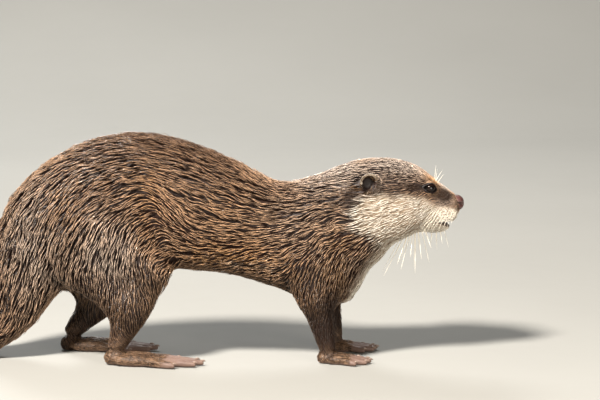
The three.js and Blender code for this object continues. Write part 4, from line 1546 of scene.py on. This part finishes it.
# %% Material: eye
eye_material, tree, shader = material(
    "wet_eye", Coat_Weight=0.3, Coat_Roughness=0.02, Specular_IOR_Level=0.1
)
off_centre = read(tree, "off_centre")
iris = tree.nodes.new("ShaderNodeValToRGB")
first, last = iris.color_ramp.elements
first.position, first.color = 0.42, tint("#050303")
last.position, last.color = 0.5, tint("#1d0f09")
for position, code in ((0.8, "#120a07"), (0.9, "#050404")):
    iris.color_ramp.elements.new(position).color = tint(code)
tree.links.new(off_centre, iris.inputs[0])
flecks = worked(tree, "MULTIPLY", noise(tree, 1400.0), 0.5)
flecked = mixed(tree, flecks, iris.outputs[0], tint("#0a0605"))
tree.links.new(flecked, shader.inputs["Base Color"])
tree.links.new(scaled(tree, noise(tree, 500.0), 0.05, 0.06), shader.inputs["Roughness"])
print("stops of the iris:", len(iris.color_ramp.elements))

# %% Eyeballs
IRIS_ANGLE = math.radians(52)
CORNEA, CORNEA_FULL = 0.45, 0.3
BALL_ROUND, BALL_RINGS = 40, 28


def eyeball(side):
    """A ball whose pole lies along the gaze, with a cornea that swells there."""
    gaze = GAZE * (1, SIDES[side], 1)
    ball = bmesh.new()
    bmesh.ops.create_uvsphere(ball, u_segments=BALL_ROUND, v_segments=BALL_RINGS, radius=1)
    turn = Vector((0, 0, 1)).rotation_difference(Vector(gaze))
    bmesh.ops.rotate(ball, verts=ball.verts, matrix=turn.to_matrix())
    me = bpy.data.meshes.new(f"eyeball_{side}")
    ball.to_mesh(me)
    ball.free()
    ways = places(me)
    angle = np.arccos(np.clip(ways @ gaze, -1, 1))
    swell = CORNEA * ramp(IRIS_ANGLE, CORNEA_FULL * IRIS_ANGLE, angle)
    centre = EYE * (1, SIDES[side], 1)
    set_places(me, placed(centre + ways * (BALL + swell)[:, None]))
    write_value(me, "off_centre", angle / IRIS_ANGLE)
    made = piece_of(f"eyeball_{side}", me, eye_material)
    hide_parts(f"eye_{side}")


for side in SIDES:
    eyeball(side)
print("eyeballs, across in mm:", 2 * BALL)

# %% [markdown]
# ## Nose pad
# The pad is bare, damp and pebbled, with comma-shaped nostrils that open to the side. It
# is drawn as a full ellipsoid in the CAD. Here a fine ball takes that shape, and soft
# falloffs press in the nostrils and the groove down the middle.

# %% Material: nose
nose_material, tree, shader = material("damp_nose", Coat_Weight=0.35, Coat_Roughness=0.25)
pebbles = group_in(tree, pebbled, Size=1700.0, Wrinkle_size=500.0)
flesh_tone = mixed(tree, noise(tree, 160.0), tint("#3c2220"), tint("#6f453e"))
# Painted shade in the hollows between the pebbles.
pebble_hollow_shade = worked(tree, "MULTIPLY", pebbles["Hollows"], 0.9)
flesh_tone = mixed(tree, pebble_hollow_shade, flesh_tone, tint("#230f0e"))
# Painted shade deep in the nostrils.
flesh_tone = mixed(tree, read(tree, "nostril_shade"), flesh_tone, tint("#0c0404"))
tree.links.new(flesh_tone, shader.inputs["Base Color"])
tree.links.new(scaled(tree, pebbles["Hollows"], 0.3, 0.32), shader.inputs["Roughness"])
bumped(tree, shader, pebbles["Height"], 0.5, 0.0004)

# %% Nose pad
# A power above 2 makes the ball a little square, as the pad is seen from in front.
SQUARE = 2.4
NOSTRIL = np.array((212.4, 6.0, 143.4))
NOSTRIL_TAIL = NOSTRIL + (-2.4, 2.0, 1.5)
NOSTRIL_DEEP, RIM_SWELL, GROOVE_DEEP, DIP_DEEP = 3.4, 0.7, 0.8, 0.5
GROOVE_HALF, DIP_HALF = 0.7, 3.0

ball = bmesh.new()
bmesh.ops.create_icosphere(ball, subdivisions=6, radius=1)
nose_mesh = bpy.data.meshes.new("nose_pad")
ball.to_mesh(nose_mesh)
ball.free()
ways = places(nose_mesh)
squared = ways / (np.abs(ways) ** SQUARE).sum(1, keepdims=True) ** (1 / SQUARE)
pad = NOSE_PAD + squared * NOSE_HALF
m = mirrored(pad)
hole = around(m, NOSTRIL, (3.4, 1.9, 1.7)) + around(m, NOSTRIL_TAIL, (2.4, 1.6, 0.9))
rim = around(m, NOSTRIL, (4.6, 3.6, 3.2)) - hole
groove = np.exp(-(pad[:, 1] / GROOVE_HALF) ** 2) * ramp(145.5, 141, pad[:, 2])
dip = np.exp(-(pad[:, 1] / DIP_HALF) ** 2) * ramp(148, 151, pad[:, 2])
inward = np.clip(hole, 0, 1) * NOSTRIL_DEEP - np.clip(rim, 0, 1) * RIM_SWELL
inward = inward + groove * GROOVE_DEEP + dip * DIP_DEEP
pad = pad - ways * inward[:, None]
set_places(nose_mesh, placed(pad))
# Painted shade deep in the nostrils.
write_value(nose_mesh, "nostril_shade", ramp(0.45, 0.95, hole))
nose_piece = piece_of("nose_pad", nose_mesh, nose_material)
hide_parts("nose")
print("corners of the nose pad:", len(pad))

# %% [markdown]
# ## Whiskers
# Whiskers are stiff, pale and tapering. Each is a fine tube that leaves the skin along its
# root and bends under its own weight. They grow in rows on the lip pad, in a small spray
# under the cheek, a few on the chin and a pair over each eye.

# %% Material: whisker and claw
whisker_material, _, _ = grained(
    "pale_whisker", 0.6, colours=(700.0, "#f0e6cc", "#fffaf0"),
    rough=(400.0, 0.2, 0.25), bump=(3000.0, 0.15, 0.0001),
)
claw_material, _, _ = grained(
    "claw_horn", 0.6, colours=(300.0, "#3a2c25", "#8a7567"),
    rough=(500.0, 0.25, 0.3), bump=(1800.0, 0.3, 0.0001),
)
print("made:", whisker_material.name, "and", claw_material.name)


# %% Tapering tubes along a line
def tapered(name, lines, widths, sides, wear):
    """Closed tubes along lines of points in mm, each with a radius at every point."""
    points, corners, sizes, start = [], [], [], 0
    for line, radii in zip(lines, widths):
        line = np.asarray(line, float)
        ahead = unit(np.gradient(line, axis=0))
        side = unit(np.cross(ahead, (0.3, 0.9, 0.31)))
        up = np.cross(ahead, side)
        for k, radius in enumerate(radii):
            for s in range(sides):
                turn = 2 * math.pi * s / sides
                spoke = side[k] * math.cos(turn) + up[k] * math.sin(turn)
                points.append(line[k] + spoke * radius)
        count = len(line)
        for k in range(count - 1):
            for s in range(sides):
                low, next_one = start + k * sides + s, start + k * sides + (s + 1) % sides
                corners += [low, next_one, next_one + sides, low + sides]
                sizes.append(4)
        corners += [start + s for s in reversed(range(sides))]
        corners += [start + (count - 1) * sides + s for s in range(sides)]
        sizes += [sides, sides]
        start += count * sides
    made = piece_of(name, mesh_of(name, placed(np.array(points)), corners, sizes), wear)
    print(name, "made:", len(lines))


# %% One whisker
# All measures are in mm. The sag is a share of the length.
WHISKER_POINTS, WHISKER_SIDES = 9, 4
ROOT_DEEP = 0.8
TAPER, TAPER_POWER = 0.82, 1.3
lines, widths = [], []


def add_whisker(sign, root, way, length, sag, thick):
    """Lays out a whisker drawn for the left side, on the side that sign gives."""
    s = np.linspace(0, 1, WHISKER_POINTS)
    near, _ = onto_skin(np.array([root], float) * (1, sign, 1))
    way = unit(np.array(way) * (1, sign, 1))
    straight = near[0] - way * ROOT_DEEP + way * length * s[:, None]
    lines.append(straight + np.array((0, 0, -1.0)) * sag * length * s[:, None] ** 2)
    widths.append(thick * (1 - TAPER * s ** TAPER_POWER))


# %% The rows on the lip pad
PAD_LONG, PAD_OUT = 22, 17
PAD_SHORTEST, PAD_LONGER = 4.5, 13
PAD_SAG, PAD_THIN, PAD_THICKER = 0.28, 0.11, 0.09


def pad_whiskers(sign):
    """Short ones near the nose, and longer and stiffer ones towards the cheek."""
    for x, z in whisker_roots:
        back_share = max(0.0, (PAD_FRONT - x) / PAD_LONG)
        length = PAD_SHORTEST + PAD_LONGER * back_share ** 1.5 + whisker_rng.uniform(-1, 3)
        way = (-0.25 - 0.55 * back_share, 0.75, -0.55 + whisker_rng.normal(0, 0.12))
        thick = PAD_THIN + PAD_THICKER * back_share
        add_whisker(sign, (x, PAD_OUT, z), way, length, PAD_SAG, thick)


# %% Under the cheek, on the chin and over the eye
# Each row under the cheek: how far out the whisker stands, from 0 to 1, and its length.
CHEEK_SPRAY = (
    (0.1, 42), (0.62, 30), (0.3, 34), (0.8, 24), (0.2, 38), (0.5, 27), (0.05, 30), (0.7, 20),
)
CHEEK_SAG, CHEEK_THICK = 0.05, 0.34
CHIN_COUNT, CHIN_SAG, CHIN_THICK = 4, 0.03, 0.24
BROW_COUNT, BROW_SAG, BROW_THICK = 2, 0.1, 0.17


def cheek_whiskers(sign):
    for k, (out, length) in enumerate(CHEEK_SPRAY):
        share = k / (len(CHEEK_SPRAY) - 1)
        root = (160 + 19 * share, 10 + 8 * out, 118.5)
        way = (-0.5 + 0.85 * share, 0.75 * out, -0.92)
        add_whisker(sign, root, way, length, CHEEK_SAG, CHEEK_THICK)


def chin_whiskers(sign):
    for k in range(CHIN_COUNT):
        root = (186 + 4 * k, 3 + 2 * (k % 3), 117)
        way = (-0.1 + 0.12 * k, 0.1 + 0.16 * (k % 3), -1)
        add_whisker(sign, root, way, 13 + 4 * (k % 2), CHIN_SAG, CHIN_THICK)


def brow_whiskers(sign):
    for k in range(BROW_COUNT):
        way = (0.08 + 0.5 * k, 0.3, 1.0)
        add_whisker(sign, (190 + 2 * k, 9, 166), way, 16 - 2 * k, BROW_SAG, BROW_THICK)


for sign in SIDES.values():
    for whiskers_of in (pad_whiskers, cheek_whiskers, chin_whiskers, brow_whiskers):
        whiskers_of(sign)
tapered("whiskers", lines, widths, WHISKER_SIDES, whisker_material)

# %% [markdown]
# ## Claws
# A small-clawed otter's claws are short blunt pegs that hardly pass the toe. The same
# tapering tube makes them: each follows a short line that dips at its end, and the lines
# are laid out toe by toe from the place and size of each foot.

# %% Claws
# Each row: the ankle's place, the side, the way the foot points in degrees, its length and
# width, and the thickness of a toe.
PAW_SHAPES = (
    ((90, 31), "right", 6, 40, 27, 3.2), ((97, 31), "left", 2, 40, 27, 3.2),
    ((-103, 38), "right", 5, 80, 34, 3.6), ((-148, 36), "left", -4, 80, 34, 3.6),
)
CLAW_LINE = np.array(((-1.2, 0, 0.1), (0.4, 0, 0.5), (1.8, 0, 0.35), (2.9, 0, -0.35)))
CLAW_RADII = np.array((1.25, 1.15, 0.75, 0.18))
CLAW_SIDES = 8
TOES = range(-2, 3)
TOE_ARC, TOE_SPREAD = 0.075, 0.27
CLAW_BACK, CLAW_UP = 0.4, 1.25

lines, widths = [], []
for (x, y), side, heading, length, width, digit in PAW_SHAPES:
    turn = math.radians(SIDES[side] * heading)
    ahead = (math.cos(turn), math.sin(turn), 0)
    leftward = (-math.sin(turn), math.cos(turn), 0)
    turning = np.array((ahead, leftward, (0, 0, 1)))
    for i in TOES:
        reach = length * (1 - TOE_ARC * i * i) - digit * CLAW_BACK
        tip = np.array((reach, i * width * TOE_SPREAD, digit * CLAW_UP))
        lines.append((tip + CLAW_LINE) @ turning + (x, SIDES[side] * y, 0))
        widths.append(CLAW_RADII)
tapered("claws", lines, widths, CLAW_SIDES, claw_material)

# %% [markdown]
# ## The studio floor
# The floor is one broad sheet that curves up far behind the animal, so no horizon shows.
# A wall there would hide the animal from behind, so the sheet shows only from its front:
# one shader is mixed with a clear one by the side that is looked at.

# %% Floor
# All measures are in metres.
WIDE, NEAR_EDGE, BEND_START, BEND, WALL_TOP = 6.0, -6.0, 1.6, 1.8, 6.0
BEND_STEPS = 24

floor_material, tree, shader = grained(
    "studio_floor", 0.2, colours=(3.0, "#83837f", "#8a8a86"),
    rough=(40.0, 0.1, 0.8), bump=(300.0, 0.1, 0.0005),
)
profile = [(NEAR_EDGE, 0.0)]
for t in np.linspace(0, QUARTER, BEND_STEPS):
    profile.append((BEND_START + BEND * math.sin(t), BEND * (1 - math.cos(t))))
profile.append((BEND_START + BEND, WALL_TOP))
points = [(x, y, z) for y, z in profile for x in (-WIDE, WIDE)]
spans = len(profile) - 1
corners = [n for k in range(spans) for n in (2 * k, 2 * k + 1, 2 * k + 3, 2 * k + 2)]
floor_mesh = mesh_of("studio_floor", np.array(points), corners, [4] * spans)
floor = shown("studio_floor", floor_mesh, floor_material)
print("spans of the floor:", spans)

# %% A wall that hides nothing from behind
which_side = tree.nodes.new("ShaderNodeNewGeometry").outputs["Backfacing"]
clear = tree.nodes.new("ShaderNodeBsdfTransparent")
either = tree.nodes.new("ShaderNodeMixShader")
outlet = tree.nodes["Material Output"].inputs["Surface"]
tree.links.new(which_side, either.inputs[0])
tree.links.new(shader.outputs[0], either.inputs[1])
tree.links.new(clear.outputs[0], either.inputs[2])
tree.links.new(either.outputs[0], outlet)
